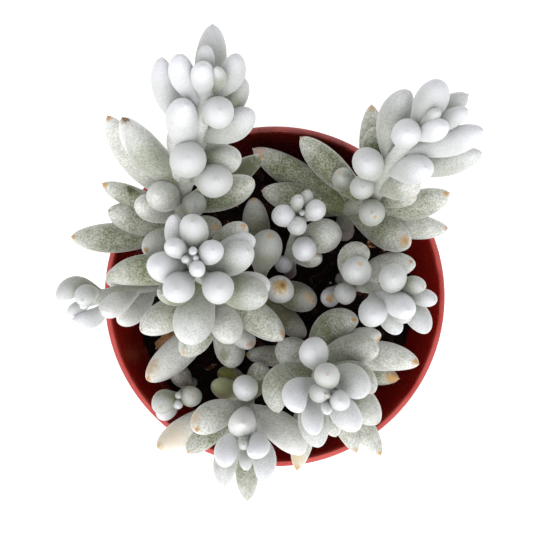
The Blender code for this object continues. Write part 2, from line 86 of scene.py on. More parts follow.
POT_SIDES = 168
DRAIN_HOLES = 6
DRAIN_RADIUS = 4.0
DRAIN_RING = 24.0
DRAIN_LOW, DRAIN_HIGH = -3, 6
DRAIN_SIDES = 28
SHARP_ANGLE = math.radians(34)
PLASTIC_RED = (0.40, 0.011, 0.006, 1)
SCUFFED_RED = (0.52, 0.060, 0.048, 1)
# Painted shade: the dark laid over the inner wall and the back of the lip
PAINTED_SHADE = (0.020, 0.006, 0.004, 1)
# Painted reflection: a pale pink low on the left of the inner wall
PAINTED_REFLECTION = (0.50, 0.30, 0.29, 1)


def put(name, points, faces, smooth=True):
    """A mesh object from points in millimetres."""
    mesh = bpy.data.meshes.new(name)
    mesh.from_pydata((np.asarray(points) * MM).tolist(), [], faces)
    mesh.validate()
    if smooth:
        mesh.shade_smooth()
    thing = bpy.data.objects.new(name, mesh)
    bpy.context.scene.collection.objects.link(thing)
    return thing


def arc(middle, radius, start, end, steps):
    """Points (radius, height) of a round corner, with the angles in degrees."""
    angles = np.radians(np.linspace(start, end, steps + 1))
    return [(middle[0] + radius * math.cos(a), middle[1] + radius * math.sin(a)) for a in angles]


def turned(profile, sides):
    """Points and faces of a body turned round +Z, from a profile that starts and ends on the axis."""
    points = [(0.0, 0.0, profile[0][1])]
    for radius, height in profile[1:-1]:
        for k in range(sides):
            angle = 2 * math.pi * k / sides
            points.append((radius * math.cos(angle), radius * math.sin(angle), height))
    points.append((0.0, 0.0, profile[-1][1]))
    faces = []
    last = len(profile) - 3
    for k in range(sides):
        after = (k + 1) % sides
        faces.append((0, 1 + after, 1 + k))
        for level in range(last):
            low = 1 + level * sides
            faces.append((low + k, low + after, low + sides + after, low + sides + k))
        top = 1 + last * sides
        faces.append((top + k, top + after, len(points) - 1))
    return points, faces


def inner_radius(height):
    """Radius of the pot's inner wall, which tapers from the lip to the floor."""
    return float(np.interp(height, [FLOOR_THICKNESS, POT_HEIGHT], [INNER_FOOT, INNER_LIP]))


def cut_holes(thing, holes, sides):
    """Cut upright round holes, given as (x, y, low, high, radius)."""
    group = bpy.data.collections.new(thing.name + "_holes")
    for x, y, low, high, radius in holes:
        shape = bmesh.new()
        bmesh.ops.create_cone(shape, cap_ends=True, segments=sides, radius1=radius * MM,
                              radius2=radius * MM, depth=(high - low) * MM)
        bmesh.ops.translate(shape, verts=shape.verts, vec=(x * MM, y * MM, (low + high) / 2 * MM))
        mesh = bpy.data.meshes.new("hole")
        shape.to_mesh(mesh)
        shape.free()
        group.objects.link(bpy.data.objects.new("hole", mesh))
    change = thing.modifiers.new("holes", "BOOLEAN")
    change.operand_type = "COLLECTION"
    change.collection = group
    change.solver = "EXACT"
    bpy.context.view_layer.update()
    result = thing.evaluated_get(bpy.context.evaluated_depsgraph_get())
    mesh = bpy.data.meshes.new_from_object(result)
    thing.modifiers.clear()
    thing.data = mesh
    for hole in list(group.objects):
        bpy.data.objects.remove(hole, do_unlink=True)
    bpy.data.collections.remove(group)


def node(tree, kind, inputs=None, **settings):
    """Add a shader node and feed its inputs, each from a value or from another node's socket."""
    made = tree.nodes.new("ShaderNode" + kind)
    for name, value in settings.items():
        setattr(made, name, value)
    for name, value in (inputs or {}).items():
        if isinstance(value, bpy.types.NodeSocket):
            tree.links.new(value, made.inputs[name])
        else:
            made.inputs[name].default_value = value
    return made


def link(tree, inputs, sockets):
    """Feed some inputs, each from another node's socket."""
    for name, socket in sockets.items():
        tree.links.new(socket, inputs[name])


def grain(tree, place, scale, detail=2.0, roughness=0.55):
    """Noise of this many waves in a metre."""
    feed = {"Vector": place, "Scale": scale, "Detail": detail, "Roughness": roughness}
    return node(tree, "TexNoise", feed).outputs[0]


def span(tree, value, low, high, to_low=0.0, to_high=1.0):
    """Map a value smoothly from one range to another."""
    feed = {"Value": value, "From Min": low, "From Max": high, "To Min": to_low, "To Max": to_high}
    return node(tree, "MapRange", feed, interpolation_type="SMOOTHSTEP").outputs[0]


def calc(tree, operation, first, second=0.0, third=0.0, clamp=False):
    """A sum with two values, or with three where the operation takes them."""
    feed = {0: first, 1: second, 2: third}
    return node(tree, "Math", feed, operation=operation, use_clamp=clamp).outputs[0]


def mixed(tree, share, first, second):
    """A colour between two colours."""
    return node(tree, "Mix", {0: share, 6: first, 7: second}, data_type="RGBA").outputs[2]


def shared_effect(name, inputs, outputs):
    """An empty node group, with its input and output nodes. Inputs are {name: (kind, value)}."""
    tree = bpy.data.node_groups.new(name, "ShaderNodeTree")
    for title, (kind, value) in inputs.items():
        socket = tree.interface.new_socket(title, in_out="INPUT", socket_type="NodeSocket" + kind)
        if value is not None:
            socket.default_value = value
    for title, kind in outputs.items():
        tree.interface.new_socket(title, in_out="OUTPUT", socket_type="NodeSocket" + kind)
    return tree, tree.nodes.new("NodeGroupInput").outputs, tree.nodes.new("NodeGroupOutput").inputs


def new_material(name):
    """A material, its tree, its shader, and the place on the piece in metres."""
    made = bpy.data.materials.new(name)
    made.use_nodes = True
    tree = made.node_tree
    shader = tree.nodes["Principled BSDF"]
    place = node(tree, "TexCoord").outputs["Object"]
    return made, tree, shader, place


def finish_surface(tree, shader, look, relief, depth, gloss, colour=None):
    """Feed a shader from a shared effect: its colour, unless another is given, its roughness and its
    relief, as deep as this in millimetres. The gloss is the shader's specular level."""
    feed = {"Height": look.outputs["Height"], "Strength": relief, "Distance": depth * MM}
    link(tree, shader.inputs, {
        "Base Color": look.outputs["Colour"] if colour is None else colour,
        "Roughness": look.outputs["Roughness"], "Normal": node(tree, "Bump", feed).outputs[0]})
    shader.inputs["Specular IOR Level"].default_value = gloss


# Handling marks on moulded plastic: a cloudy surface, hair scratches and scuffed edges
handled, given, gives = shared_effect(
    "handled_plastic",
    {"Place": ("Vector", None), "Colour": ("Color", (1, 1, 1, 1)), "Scuffed": ("Color", (1, 1, 1, 1)),
     "Edge": ("Float", 0.0), "Smooth": ("Float", 0.25), "Worn": ("Float", 0.5)},
    {"Colour": "Color", "Roughness": "Float", "Height": "Float"})
cloud = grain(handled, given["Place"], 90, 3)
fine = grain(handled, given["Place"], 2600, 2)
stretch = node(handled, "Mapping", {"Vector": given["Place"], "Scale": (1.0, 1.0, 0.05)}).outputs[0]
scratches = span(handled, grain(handled, stretch, 2100, 3, 0.7), 0.62, 0.70)
edge_scuff = calc(handled, "MULTIPLY", given["Edge"], span(handled, cloud, 0.30, 0.62))
scuff = calc(handled, "MULTIPLY_ADD", scratches, 0.10, edge_scuff)
shown = calc(handled, "MULTIPLY", scuff, given["Worn"], clamp=True)
uneven = calc(handled, "ADD", given["Smooth"], span(handled, cloud, 0.3, 0.7, -0.04, 0.06))
link(handled, gives, {
    "Colour": mixed(handled, shown, given["Colour"], given["Scuffed"]),
    "Roughness": calc(handled, "MULTIPLY_ADD", shown, 0.25, uneven),
    "Height": calc(handled, "MULTIPLY_ADD", fine, 0.15, cloud)})

under_collar = inner_radius(COLLAR_FOOT) + WALL
pot_profile = [(0, 0)]
pot_profile += arc((FOOT_RADIUS - FOOT_BEVEL, FOOT_BEVEL), FOOT_BEVEL, -90, -4, 5)
pot_profile += [(under_collar, COLLAR_FOOT - 0.1)]
pot_profile += arc((under_collar + COLLAR_STEP - COLLAR_BEVEL, COLLAR_FOOT + COLLAR_BEVEL),
                   COLLAR_BEVEL, -90, -4, 3)
# The lip: its outer edge is rounded, it rises inwards a little, and its inner edge is rounded too
pot_profile += [(LIP_RADIUS - 0.05, POT_HEIGHT - LIP_SIDE)]
pot_profile += arc((LIP_RADIUS - LIP_OUTER_ROUND, POT_HEIGHT - LIP_OUTER_DEPTH),
                   LIP_OUTER_ROUND, 0, 56, 3)
pot_profile += arc((LIP_RADIUS - LIP_INNER_INSET, POT_HEIGHT - LIP_INNER_ROUND),
                   LIP_INNER_ROUND, 56, 176, 5)
# Inside, a fillet joins the wall to the floor
pot_profile += arc((inner_radius(4.2) - 1.8, 4.1), FLOOR_FILLET, -8, -90, 5)
pot_profile += [(0, FLOOR_THICKNESS)]
pot = put("red_pot", *turned(pot_profile, POT_SIDES))
drains = []
for k in range(DRAIN_HOLES):
    angle = 2 * math.pi * (k + 0.5) / DRAIN_HOLES
    drains.append((DRAIN_RING * math.cos(angle), DRAIN_RING * math.sin(angle), DRAIN_LOW, DRAIN_HIGH,
                   DRAIN_RADIUS))
cut_holes(pot, drains, DRAIN_SIDES)
pot.data.shade_smooth()
pot.data.set_sharp_from_angle(angle=SHARP_ANGLE)

pot_plastic, tree, shader, place = new_material("pot_plastic")
across, back, height = node(tree, "SeparateXYZ", {0: place}).outputs
lip_edge = span(tree, height, (POT_HEIGHT - 2.2) * MM, (POT_HEIGHT - 1.2) * MM)
foot_edge = span(tree, height, 2.4 * MM, 0.4 * MM)

# Painted shade over the inner wall, darkest towards the back, and over the back of the lip, and a painted
# reflection low on the left of the wall
level = node(tree, "VectorMath", {0: place, 1: (1, 1, 0)}, operation="MULTIPLY").outputs[0]
radius = node(tree, "VectorMath", {0: level}, operation="LENGTH").outputs["Value"]
taper = (inner_radius(POT_HEIGHT) - inner_radius(0)) / POT_HEIGHT
wall_middle = calc(tree, "MULTIPLY_ADD", height, taper, (inner_radius(0) + WALL / 2) * MM)
inside = calc(tree, "LESS_THAN", radius, wall_middle)
wall_shade = calc(tree, "MULTIPLY", inside, span(tree, back, 14 * MM, 42 * MM, 0.22, 0.80))
lip_shade = calc(tree, "MULTIPLY", lip_edge, span(tree, back, 26 * MM, 47 * MM, 0.0, 0.42))
shaded_red = mixed(tree, calc(tree, "MAXIMUM", wall_shade, lip_shade), PLASTIC_RED, PAINTED_SHADE)
low = span(tree, height, (POT_HEIGHT - 13) * MM, (POT_HEIGHT - 22) * MM)
left = span(tree, across, -18 * MM, -36 * MM)
reflection_blotches = span(tree, grain(tree, place, 260, 4, 0.7), 0.50, 0.66, 0.0, 0.55)
low_left = calc(tree, "MULTIPLY", low, left)
reflection = calc(tree, "MULTIPLY", calc(tree, "MULTIPLY", inside, reflection_blotches), low_left)
handling = node(tree, "Group", {
    "Place": place, "Colour": mixed(tree, reflection, shaded_red, PAINTED_REFLECTION), "Scuffed": SCUFFED_RED,
    "Edge": calc(tree, "MAXIMUM", lip_edge, foot_edge), "Smooth": 0.27, "Worn": 0.8}, node_tree=handled)
finish_surface(tree, shader, handling, 0.12, 0.25, 0.55)
pot.data.materials.clear()
pot.data.materials.append(pot_plastic)
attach(pot, "root")
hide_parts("pot")


# Potting mix
# Dark peat with fine crumbs, bark chips, pale grit and a few dry root fibres. It was poured in round
# the stems to below the lip and has settled unevenly. The bits that lie on it are a piece of their own.
SOIL_TOP = POT_HEIGHT - 25.0
CLEARANCE = 0.3
STEM_DEPTH = 11.0
SOIL_FOOT = 4.3
SOIL_FOOT_BEVEL = 2.2
SOIL_EDGE_BEVEL = 0.4
SOIL_RELIEF = 1.1
LEVEL_ROUND_STEM = (4.0, 8.0)
EYE_OVER_LIP = 320.0
SOIL_SIDES = 150
SOIL_RINGS = 46
INNERMOST_RING = 0.8
STEM_HOLE_SIDES = 20
STEM_FEET = {
    "shoot_back_left": (-29, 11, 6.0), "shoot_middle_left": (-16, -8, 6.0), "shoot_left": (-34, 2, 4.6),
    "shoot_front_left": (-24.3, -25.3, 3.4), "shoot_front": (-8, -27, 5.0),
    "shoot_front_middle": (11, -18, 6.0), "shoot_right": (20, 5, 4.8),
    "shoot_back_right": (20.5, 19, 6.0), "shoot_centre": (4.5, 7, 4.0), "shoot_low": (-4, 3, 4.6),
}
PEAT = (0.006, 0.0045, 0.004, 1)
PEAT_BROWN = (0.022, 0.012, 0.008, 1)
BARK_RED = (0.075, 0.030, 0.017, 1)
BARK_TAN = (0.80, 0.46, 0.24, 1)
PALE_GRIT = (0.58, 0.54, 0.46, 1)
chance = random.Random(23)


def seen(x, y, height):
    """Turn a place read from above, at lip scale, into its real place for a height over the lip."""
    shrink = (EYE_OVER_LIP - height) / EYE_OVER_LIP
    return np.array([x * shrink, y * shrink, POT_HEIGHT + height])


feet = [(*seen(x, y, SOIL_TOP - POT_HEIGHT)[:2], thick / 2) for x, y, thick in STEM_FEET.values()]


def soil_height(x, y):
    """The uneven surface: slow waves, small lumps, and level ground where a stem stands."""
    wave = math.sin(0.31 * x + 0.9) * math.cos(0.27 * y - 0.4) + 0.5 * math.sin(0.62 * y + 0.21 * x)
    lumps = noise.fractal(Vector((x * 0.42, y * 0.42, 3.0)), 0.6, 2.1, 4)
    nearest = min(math.hypot(x - fx, y - fy) for fx, fy, _ in feet)
    fade = float(np.interp(nearest, LEVEL_ROUND_STEM, (0.0, 1.0)))
    return SOIL_TOP + (SOIL_RELIEF * wave + 0.75 * lumps) * fade + 0.2 * lumps * (1 - fade)


soil_edge = inner_radius(SOIL_TOP) - CLEARANCE
bottom = FLOOR_THICKNESS + CLEARANCE
foot_wall = inner_radius(SOIL_FOOT)
soil_profile = [(0, bottom), (foot_wall - SOIL_FOOT_BEVEL, bottom), (foot_wall - CLEARANCE, SOIL_FOOT)]
soil_profile += [(soil_edge, SOIL_TOP - SOIL_EDGE_BEVEL)]
soil_profile += [(radius, SOIL_TOP)
                 for radius in np.linspace(soil_edge - SOIL_EDGE_BEVEL, INNERMOST_RING, SOIL_RINGS)]
soil_profile += [(0, SOIL_TOP)]
soil_points, soil_faces = turned(soil_profile, SOIL_SIDES)
soil_points = [(x, y, soil_height(x, y)) if z > SOIL_TOP - 0.1 else (x, y, z) for x, y, z in soil_points]
soil = put("potting_mix", soil_points, soil_faces)
cut_holes(soil, [(x, y, SOIL_TOP - STEM_DEPTH - CLEARANCE, SOIL_TOP + 3, radius + CLEARANCE)
                 for x, y, radius in feet], STEM_HOLE_SIDES)


def lump(detail):
    """A round lump's points and faces, to be squeezed and roughened."""
    shape = bmesh.new()
    bmesh.ops.create_icosphere(shape, subdivisions=detail, radius=1.0)
    points = np.array([vert.co[:] for vert in shape.verts])
    faces = [[vert.index for vert in face.verts] for face in shape.faces]
    shape.free()
    return points, faces


def clear_of_stems(x, y, reach):
    """Whether something this large can lie here without touching a stem."""
    return all(math.hypot(x - fx, y - fy) > radius + reach + 0.4 for fx, fy, radius in feet)


def squeezed(points, sizes, yaw, tilt, rough, seed):
    """A roughened copy of a lump, with its three half sizes, turned and tilted."""
    shaped = points * (1 + rough * np.array([noise.noise(Vector(p * 1.7 + seed)) for p in points]))[:, None]
    shaped = shaped * sizes
    c, s = math.cos(tilt), math.sin(tilt)
    shaped = shaped @ np.array([[c, 0, -s], [0, 1, 0], [s, 0, c]])
    c, s = math.cos(yaw), math.sin(yaw)
    return shaped @ np.array([[c, s, 0], [-s, c, 0], [0, 0, 1]])


bit_points, bit_faces, bit_tones = [], [], []


def add_bit(points, faces, tone):
    """Add one bit to the body of bits. Its tone runs from peat (0) through bark (0.8) to pale (1.5)."""
    first = len(bit_points)
    bit_points.extend(points.tolist())
    bit_faces.extend([[first + k for k in face] for face in faces])
    bit_tones.extend([tone] * len(points))


def drop_bits(count, shape, size, flat, tones, sink):
    """Scatter bits over the soil: their half lengths, how flat they are, their tones and their sink."""
    placed = 0
    while placed < count:
        reach = chance.uniform(*size)
        angle = chance.uniform(0, 2 * math.pi)
        radius = (soil_edge - reach * 1.2 - 0.3) * math.sqrt(chance.random())
        x, y = radius * math.cos(angle), radius * math.sin(angle)
        slim = chance.uniform(0.35, 0.8)
        if not clear_of_stems(x, y, reach):
            continue
        sizes = np.array([reach, reach * slim, reach * slim * flat])
        turned_bit = squeezed(shape[0], sizes, chance.uniform(0, math.pi), chance.uniform(-0.4, 0.4), 0.55,
                              chance.uniform(0, 50))
        add_bit(turned_bit + (x, y, soil_height(x, y) + sizes[2] * sink), shape[1], chance.uniform(*tones))
        placed += 1


# Crumbs, small chips and large flat chips
crumb, chip = lump(1), lump(2)
drop_bits(1500, crumb, (0.35, 0.9), 0.8, (0.0, 0.45), 0.1)
drop_bits(330, chip, (0.8, 1.7), 0.7, (0.05, 0.6), 0.25)
drop_bits(90, chip, (1.6, 3.2), 0.35, (0.35, 0.85), 0.6)

# The bark chips that stand out most: place, half length and width, turn and tone
for x, y, half_length, half_width, yaw, tone in (
        (-32.0, -12.9, 3.8, 1.8, 0.75, 1.1), (-29.4, -10.6, 2.3, 1.1, 1.3, 1.0),
        (-18.6, -20.5, 1.9, 0.8, 0.3, 0.8), (10.5, 5.0, 1.6, 0.6, 1.9, 0.75)):
    spot = seen(x, y, SOIL_TOP - POT_HEIGHT)
    piece = squeezed(chip[0], np.array([half_length, half_width, 0.55]), yaw, 0.12, 0.5, x)
    add_bit(piece + (spot[0], spot[1], soil_height(spot[0], spot[1]) + 0.7), chip[1], tone)

# Pale grit: about half of it lies round the two palest chips, and the rest over the whole of the mix
CHIPS_AT = (-30.5, -11.5)
GRIT_BY_CHIPS, GRIT_ELSEWHERE = 34, 30
for k in range(GRIT_BY_CHIPS + GRIT_ELSEWHERE):
    turn = chance.uniform(0, 2 * math.pi)
    by_chips = k < GRIT_BY_CHIPS
    far = chance.uniform(1.5, 6.5) if by_chips else 36 * math.sqrt(chance.random())
    middle = CHIPS_AT if by_chips else (0, 0)
    x = far * math.cos(turn) + middle[0]
    y = far * math.sin(turn) + middle[1]
    size = chance.uniform(0.22, 0.5)
    if math.hypot(x, y) > soil_edge - 1 or not clear_of_stems(x, y, size):
        continue
    grit = squeezed(crumb[0], np.array([size, size * 0.8, size * 0.6]), turn, 0.2, 0.5, k)
    add_bit(grit + (x, y, soil_height(x, y) + 0.45), crumb[1], chance.choice((0.95, 1.5)))

# Dry root fibres, each a thin bent thread that lies on the mix
FIBRES = 46
FIBRE_PLACES = 9
FIBRE_STEP = 0.75
FIBRE_RADIUS, FIBRE_END_RADIUS = 0.14, 0.05
FIBRE_SIDES = 5
for _ in range(FIBRES):
    angle = chance.uniform(0, 2 * math.pi)
    radius = (soil_edge - 7) * math.sqrt(chance.random())
    x, y = radius * math.cos(angle), radius * math.sin(angle)
    heading, bend = chance.uniform(0, 2 * math.pi), chance.uniform(-0.35, 0.35)
    path = []
    for _ in range(FIBRE_PLACES):
        path.append((x, y, soil_height(x, y) + 0.55))
        x, y = x + FIBRE_STEP * math.cos(heading), y + FIBRE_STEP * math.sin(heading)
        heading += bend + chance.uniform(-0.25, 0.25)
    if not all(clear_of_stems(px, py, 0.3) for px, py, _ in path):
        continue
    tube = []
    for k, (px, py, pz) in enumerate(path):
        before, after = path[max(k - 1, 0)], path[min(k + 1, len(path) - 1)]
        across = Vector((after[1] - before[1], before[0] - after[0], 0)).normalized()
        thin = FIBRE_RADIUS if 0 < k < len(path) - 1 else FIBRE_END_RADIUS
        for side in range(FIBRE_SIDES):
            a = 2 * math.pi * side / FIBRE_SIDES
            tube.append((px + across.x * thin * math.cos(a), py + across.y * thin * math.cos(a),
                         pz + thin * math.sin(a)))
    faces = [list(range(FIBRE_SIDES))[::-1]]
    for k in range(len(path) - 1):
        for side in range(FIBRE_SIDES):
            other = (side + 1) % FIBRE_SIDES
            low = k * FIBRE_SIDES
            faces.append([low + side, low + other, low + FIBRE_SIDES + other, low + FIBRE_SIDES + side])
    faces.append([len(tube) - FIBRE_SIDES + k for k in range(FIBRE_SIDES)])
    add_bit(np.array(tube), faces, chance.uniform(0.45, 0.8))

bits = put("soil_bits", bit_points, bit_faces, smooth=False)
for thing, tones in ((soil, [0.15] * len(soil.data.vertices)), (bits, bit_tones)):
    thing.data.attributes.new("tone", "FLOAT", "POINT").data.foreach_set("value", tones)

# The colour of crumbly ground: peat, brown, bark or pale grit by each bit's own tone
crumbly, given, gives = shared_effect(
    "crumbly_ground", {"Place": ("Vector", None), "Tone": ("Float", 0.2)},
    {"Colour": "Color", "Roughness": "Float", "Height": "Float"})
coarse = grain(crumbly, given["Place"], 420, 3)
fine = grain(crumbly, given["Place"], 2400, 3)
shade = calc(crumbly, "MULTIPLY_ADD", calc(crumbly, "SUBTRACT", coarse, 0.5), 0.9, given["Tone"])
colour = mixed(crumbly, span(crumbly, shade, 0.0, 0.42), PEAT, PEAT_BROWN)
colour = mixed(crumbly, span(crumbly, shade, 0.42, 0.78), colour, BARK_RED)
colour = mixed(crumbly, span(crumbly, shade, 0.80, 1.0), colour, BARK_TAN)
colour = mixed(crumbly, span(crumbly, given["Tone"], 1.2, 1.5), colour, PALE_GRIT)
speck = span(crumbly, fine, 0.42, 0.60, 0.55, 1.15)
dark = node(crumbly, "Mix", {0: 1.0, 6: colour, 7: speck}, data_type="RGBA", blend_type="MULTIPLY")
link(crumbly, gives, {
    "Colour": dark.outputs[2], "Roughness": span(crumbly, coarse, 0.3, 0.7, 0.72, 0.98),
    "Height": calc(crumbly, "ADD", coarse, fine)})

potting_mix, tree, shader, place = new_material("potting_mix")
tone = node(tree, "Attribute", attribute_name="tone").outputs["Fac"]
ground = node(tree, "Group", {"Place": place, "Tone": tone}, node_tree=crumbly)
finish_surface(tree, shader, ground, 0.8, 0.5, 0.12)
for thing in (soil, bits):
    thing.data.materials.clear()
    thing.data.materials.append(potting_mix)
    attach(thing, "root")
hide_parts("soil")


# Back-left shoot
# The tallest stem is rooted in the mix and leans over the lip at the back left. Its fat leaves grow
# from it all round. A felt of white hair covers them, thick on young leaves and tips and thin on old
# ones, where the green flesh shows through. Old tips dry to tan, and a few leaves have scars.
OLD_BELLY = 0.57
YOUNG_BELLY = 0.65
ROOT_THICKNESS = 0.34
NECK_THICKNESS = 0.26
YOUNG_STEM = 24.0
OLD_TIP = 0.59
YOUNG_TIP = 0.49
ROOT_FLARE = 1.9
REACH_ROUNDS = 8
FRONT_PLACES = 12
BOW = {"upright": 0.15, "spread": 0.08, "under": 0.05}
LEAF_SIDES = 28
LEAF_BACK_RINGS = 9
LEAF_FRONT_RINGS = 12
LEAF_UNEVEN = (0.022, 0.016, 0.022)
STEM_STEPS = 6
STEM_SIDES = 18
KNUCKLE_RISE = 0.05
LARGEST_KNUCKLE = 1.04
STEM_END = 0.72
BARK_TOP = POT_HEIGHT - 8
BARK_FADE = 14
STALK_WOOL = (0.15, 0.72)
FULL_WOOL = 0.88
SHELTERED_HEIGHT, SHELTERED_RANGE = 20, 25
EARTHY_DEPTH, EARTHY_RANGE = 6, 14
UNMARKED = 0.001
TAN = (0.64, 0.49, 0.32, 1)
STRAW = (0.74, 0.62, 0.42, 1)
PEACH = (0.80, 0.71, 0.58, 1)
PINK = (0.62, 0.45, 0.37, 1)
ORANGE = (0.60, 0.36, 0.15, 1)
AMBER = (0.56, 0.37, 0.12, 1)
BROWN = (0.27, 0.15, 0.055, 1)
# Painted shade: a dull grey olive that stands for the shade in two folds near one leaf's tip
PAINTED_FOLD_SHADE = (0.37, 0.37, 0.27, 1)
# Olive flesh with painted light: these two are lighter than the flesh so that two leaves in the shade look
# lit
PALE_OLIVE_WITH_LIGHT = (0.60, 0.64, 0.36, 1)
OLIVE_WITH_LIGHT = (0.31, 0.31, 0.080, 1)
# Painted shade: a dark olive laid over the shaded parts of a few leaves
PAINTED_SHADE_OLIVE = (0.15, 0.16, 0.095, 1)
MOSS = (0.085, 0.095, 0.035, 1)
DARK_BARK = (0.16, 0.085, 0.060, 1)
LIGHT_BARK = (0.33, 0.21, 0.165, 1)
WOOL_WHITE = (0.862, 0.870, 0.920, 1)
WOOL_AGED = (0.866, 0.870, 0.838, 1)
FLESH_GREEN = (0.165, 0.187, 0.078, 1)
FLESH_EARTH = (0.215, 0.190, 0.115, 1)
UP = np.array([0.0, 0.0, 1.0])


def smooth_line(points, steps):
    """A Catmull-Rom curve through the points, with this many steps between two of them."""
    ends = [2 * points[0] - points[1]] + list(points) + [2 * points[-1] - points[-2]]
    line = []
    for a, b, c, d in zip(ends, ends[1:], ends[2:], ends[3:]):
        for step in range(steps):
            t = step / steps
            line.append(0.5 * (2 * b + (c - a) * t + (2 * a - 5 * b + 4 * c - d) * t * t
                               + (3 * b - a - 3 * c + d) * t ** 3))
    line.append(points[-1])
    return np.array(line)


def stem_at(line, height):
    """The place on a stem's middle line at a height over the lip."""
    z = POT_HEIGHT + height
    return np.array([np.interp(z, line[:, 2], line[:, axis]) for axis in range(3)])


def plan(point):
    """The inverse of seen, for real places: where they look to be from above, at lip scale."""
    point = np.asarray(point)
    return point[..., :2] * (EYE_OVER_LIP / (EYE_OVER_LIP - point[..., 2:] + POT_HEIGHT))


def belly_share(young):
    """Where a leaf is widest, as a share of its length."""
    return OLD_BELLY + (YOUNG_BELLY - OLD_BELLY) * young


def leaf_thickness(share, young):
    """A leaf's thickness at a share of its length, as a share of its width: a spindle with a round
    end. Young leaves have a slim neck."""
    belly = belly_share(young)
    if share < belly:
        t = share / belly
        stout = 1 - (1 - ROOT_THICKNESS) * (1 - t) ** ROOT_FLARE
        slim = NECK_THICKNESS + (1 - NECK_THICKNESS) * t * t * (3 - 2 * t)
        return stout + (slim - stout) * young
    front = (share - belly) / (1 - belly)
    return max(0.0, 1 - front * front) ** (OLD_TIP + (YOUNG_TIP - OLD_TIP) * young)


def leaf_axis(line, kind, row):
    """Root, control point and tip of a leaf's middle line, its width, and how young it is. The tip is
    moved until the leaf's round outline reaches as far in the view as the row says."""
    x, y, tip_height, root_height, width = row[:5]
    sweep = row[5] if len(row) > 5 else 0.0
    top = line[-1][2] - POT_HEIGHT
    young = 1.0 if kind == "upright" else min(1.0, max(0.0, 1 - (top - root_height) / YOUNG_STEM))
    root = stem_at(line, root_height)
    away = np.array([x, y]) - plan(root)
    distance = np.linalg.norm(away)
    away /= distance
    left = np.array([-away[1], away[0], 0.0])
    bow = BOW[kind] * min(1.0, distance / width)
    outline_reach = distance + width / 2 if kind == "upright" else distance
    reach = outline_reach - width / 4
    shares = np.linspace(belly_share(young), 1, FRONT_PLACES)
    halves = np.array([width / 2 * leaf_thickness(share, young) for share in shares])
    for _ in range(REACH_ROUNDS):
        tip = seen(*(plan(root) + away * reach), tip_height)
        chord = tip - root
        run = chord[:2] @ away
        below = np.array([away[0] * chord[2], away[1] * chord[2], -run])
        control = (root + tip) / 2 + 2 * bow * below + 2 * sweep * left
        s = shares[:, None]
        curve = (1 - s) ** 2 * root + 2 * s * (1 - s) * control + s * s * tip
        reach += outline_reach - max((plan(curve) - plan(root)) @ away + halves)
    real_width = width * (EYE_OVER_LIP - (root_height + 2 * tip_height) / 3) / EYE_OVER_LIP
    return root, control, tip, real_width, young


def rings_to_faces(count, sides):
    """Faces of a tube of rings that ends in one point at each end. The ends' points come last."""
    faces = []
    for level in range(count - 1):
        low = level * sides
        for k in range(sides):
            after = (k + 1) % sides
            faces.append((low + k, low + after, low + sides + after, low + sides + k))
    start, end, top = count * sides, count * sides + 1, (count - 1) * sides
    for k in range(sides):
        after = (k + 1) % sides
        faces.append((start, after, k))
        faces.append((end, top + k, top + after))
    return faces


LEAF_FACES = rings_to_faces(LEAF_BACK_RINGS + LEAF_FRONT_RINGS, LEAF_SIDES)


def unit(vectors):
    """The same directions, each one long."""
    return vectors / np.linalg.norm(vectors, axis=-1, keepdims=True)


def spokes_round(side, other, sides):
    """The directions all round each ring of a tube, from the ring's two cross directions."""
    angles = 2 * math.pi * np.arange(sides) / sides
    return (np.cos(angles)[None, :, None] * side[:, None, :]
            + np.sin(angles)[None, :, None] * other[:, None, :])


def leaf_points(line, kind, row, point, draw):
    """A leaf's points, each one's share from root to tip, which of them face up, and how young the leaf
    is. The point at its tip stands out by this much."""
    root, control, tip, width, young = leaf_axis(line, kind, row)
    belly = belly_share(young)
    front = belly + (1 - belly) * np.sin(np.linspace(0, math.pi / 2, LEAF_FRONT_RINGS, endpoint=False))
    shares = np.append(np.linspace(0, belly, LEAF_BACK_RINGS, endpoint=False), front)
    s = shares[:, None]
    centres = (1 - s) ** 2 * root + 2 * s * (1 - s) * control + s * s * tip
    along = unit((1 - s) * (control - root) + s * (tip - control))
    chord = tip - root
    upper = np.cross(np.cross(chord, UP), chord)
    side = unit(np.cross(upper[None, :], along))
    other = np.cross(along, side)
    radii = width / 2 * np.array([leaf_thickness(share, young) for share in shares])
    angles = 2 * math.pi * np.arange(LEAF_SIDES) / LEAF_SIDES
    phases = [draw.uniform(0, 2 * math.pi) for _ in range(4)]
    oval, lobed, bent = LEAF_UNEVEN
    uneven = (1 + oval * np.sin(2 * angles + phases[0])[None, :]
              + lobed * np.sin(3 * angles + phases[1])[None, :]
              + bent * np.sin(5.5 * s + phases[2]) * np.sin(angles + phases[3])[None, :])
    spokes = spokes_round(side, other, LEAF_SIDES)
    points = centres[:, None, :] + spokes * (radii[:, None] * uneven)[:, :, None]
    points = points.reshape(-1, 3)
    faces_up = (spokes[:, :, 2] > -0.05).reshape(-1)
    ends = np.array([root - along[0] * 0.3, tip + unit(tip - control) * point])
    share = np.concatenate([np.repeat(shares, LEAF_SIDES), [0.0, 1.0]])
    return np.vstack([points, ends]), share, np.concatenate([faces_up, [False, True]]), young


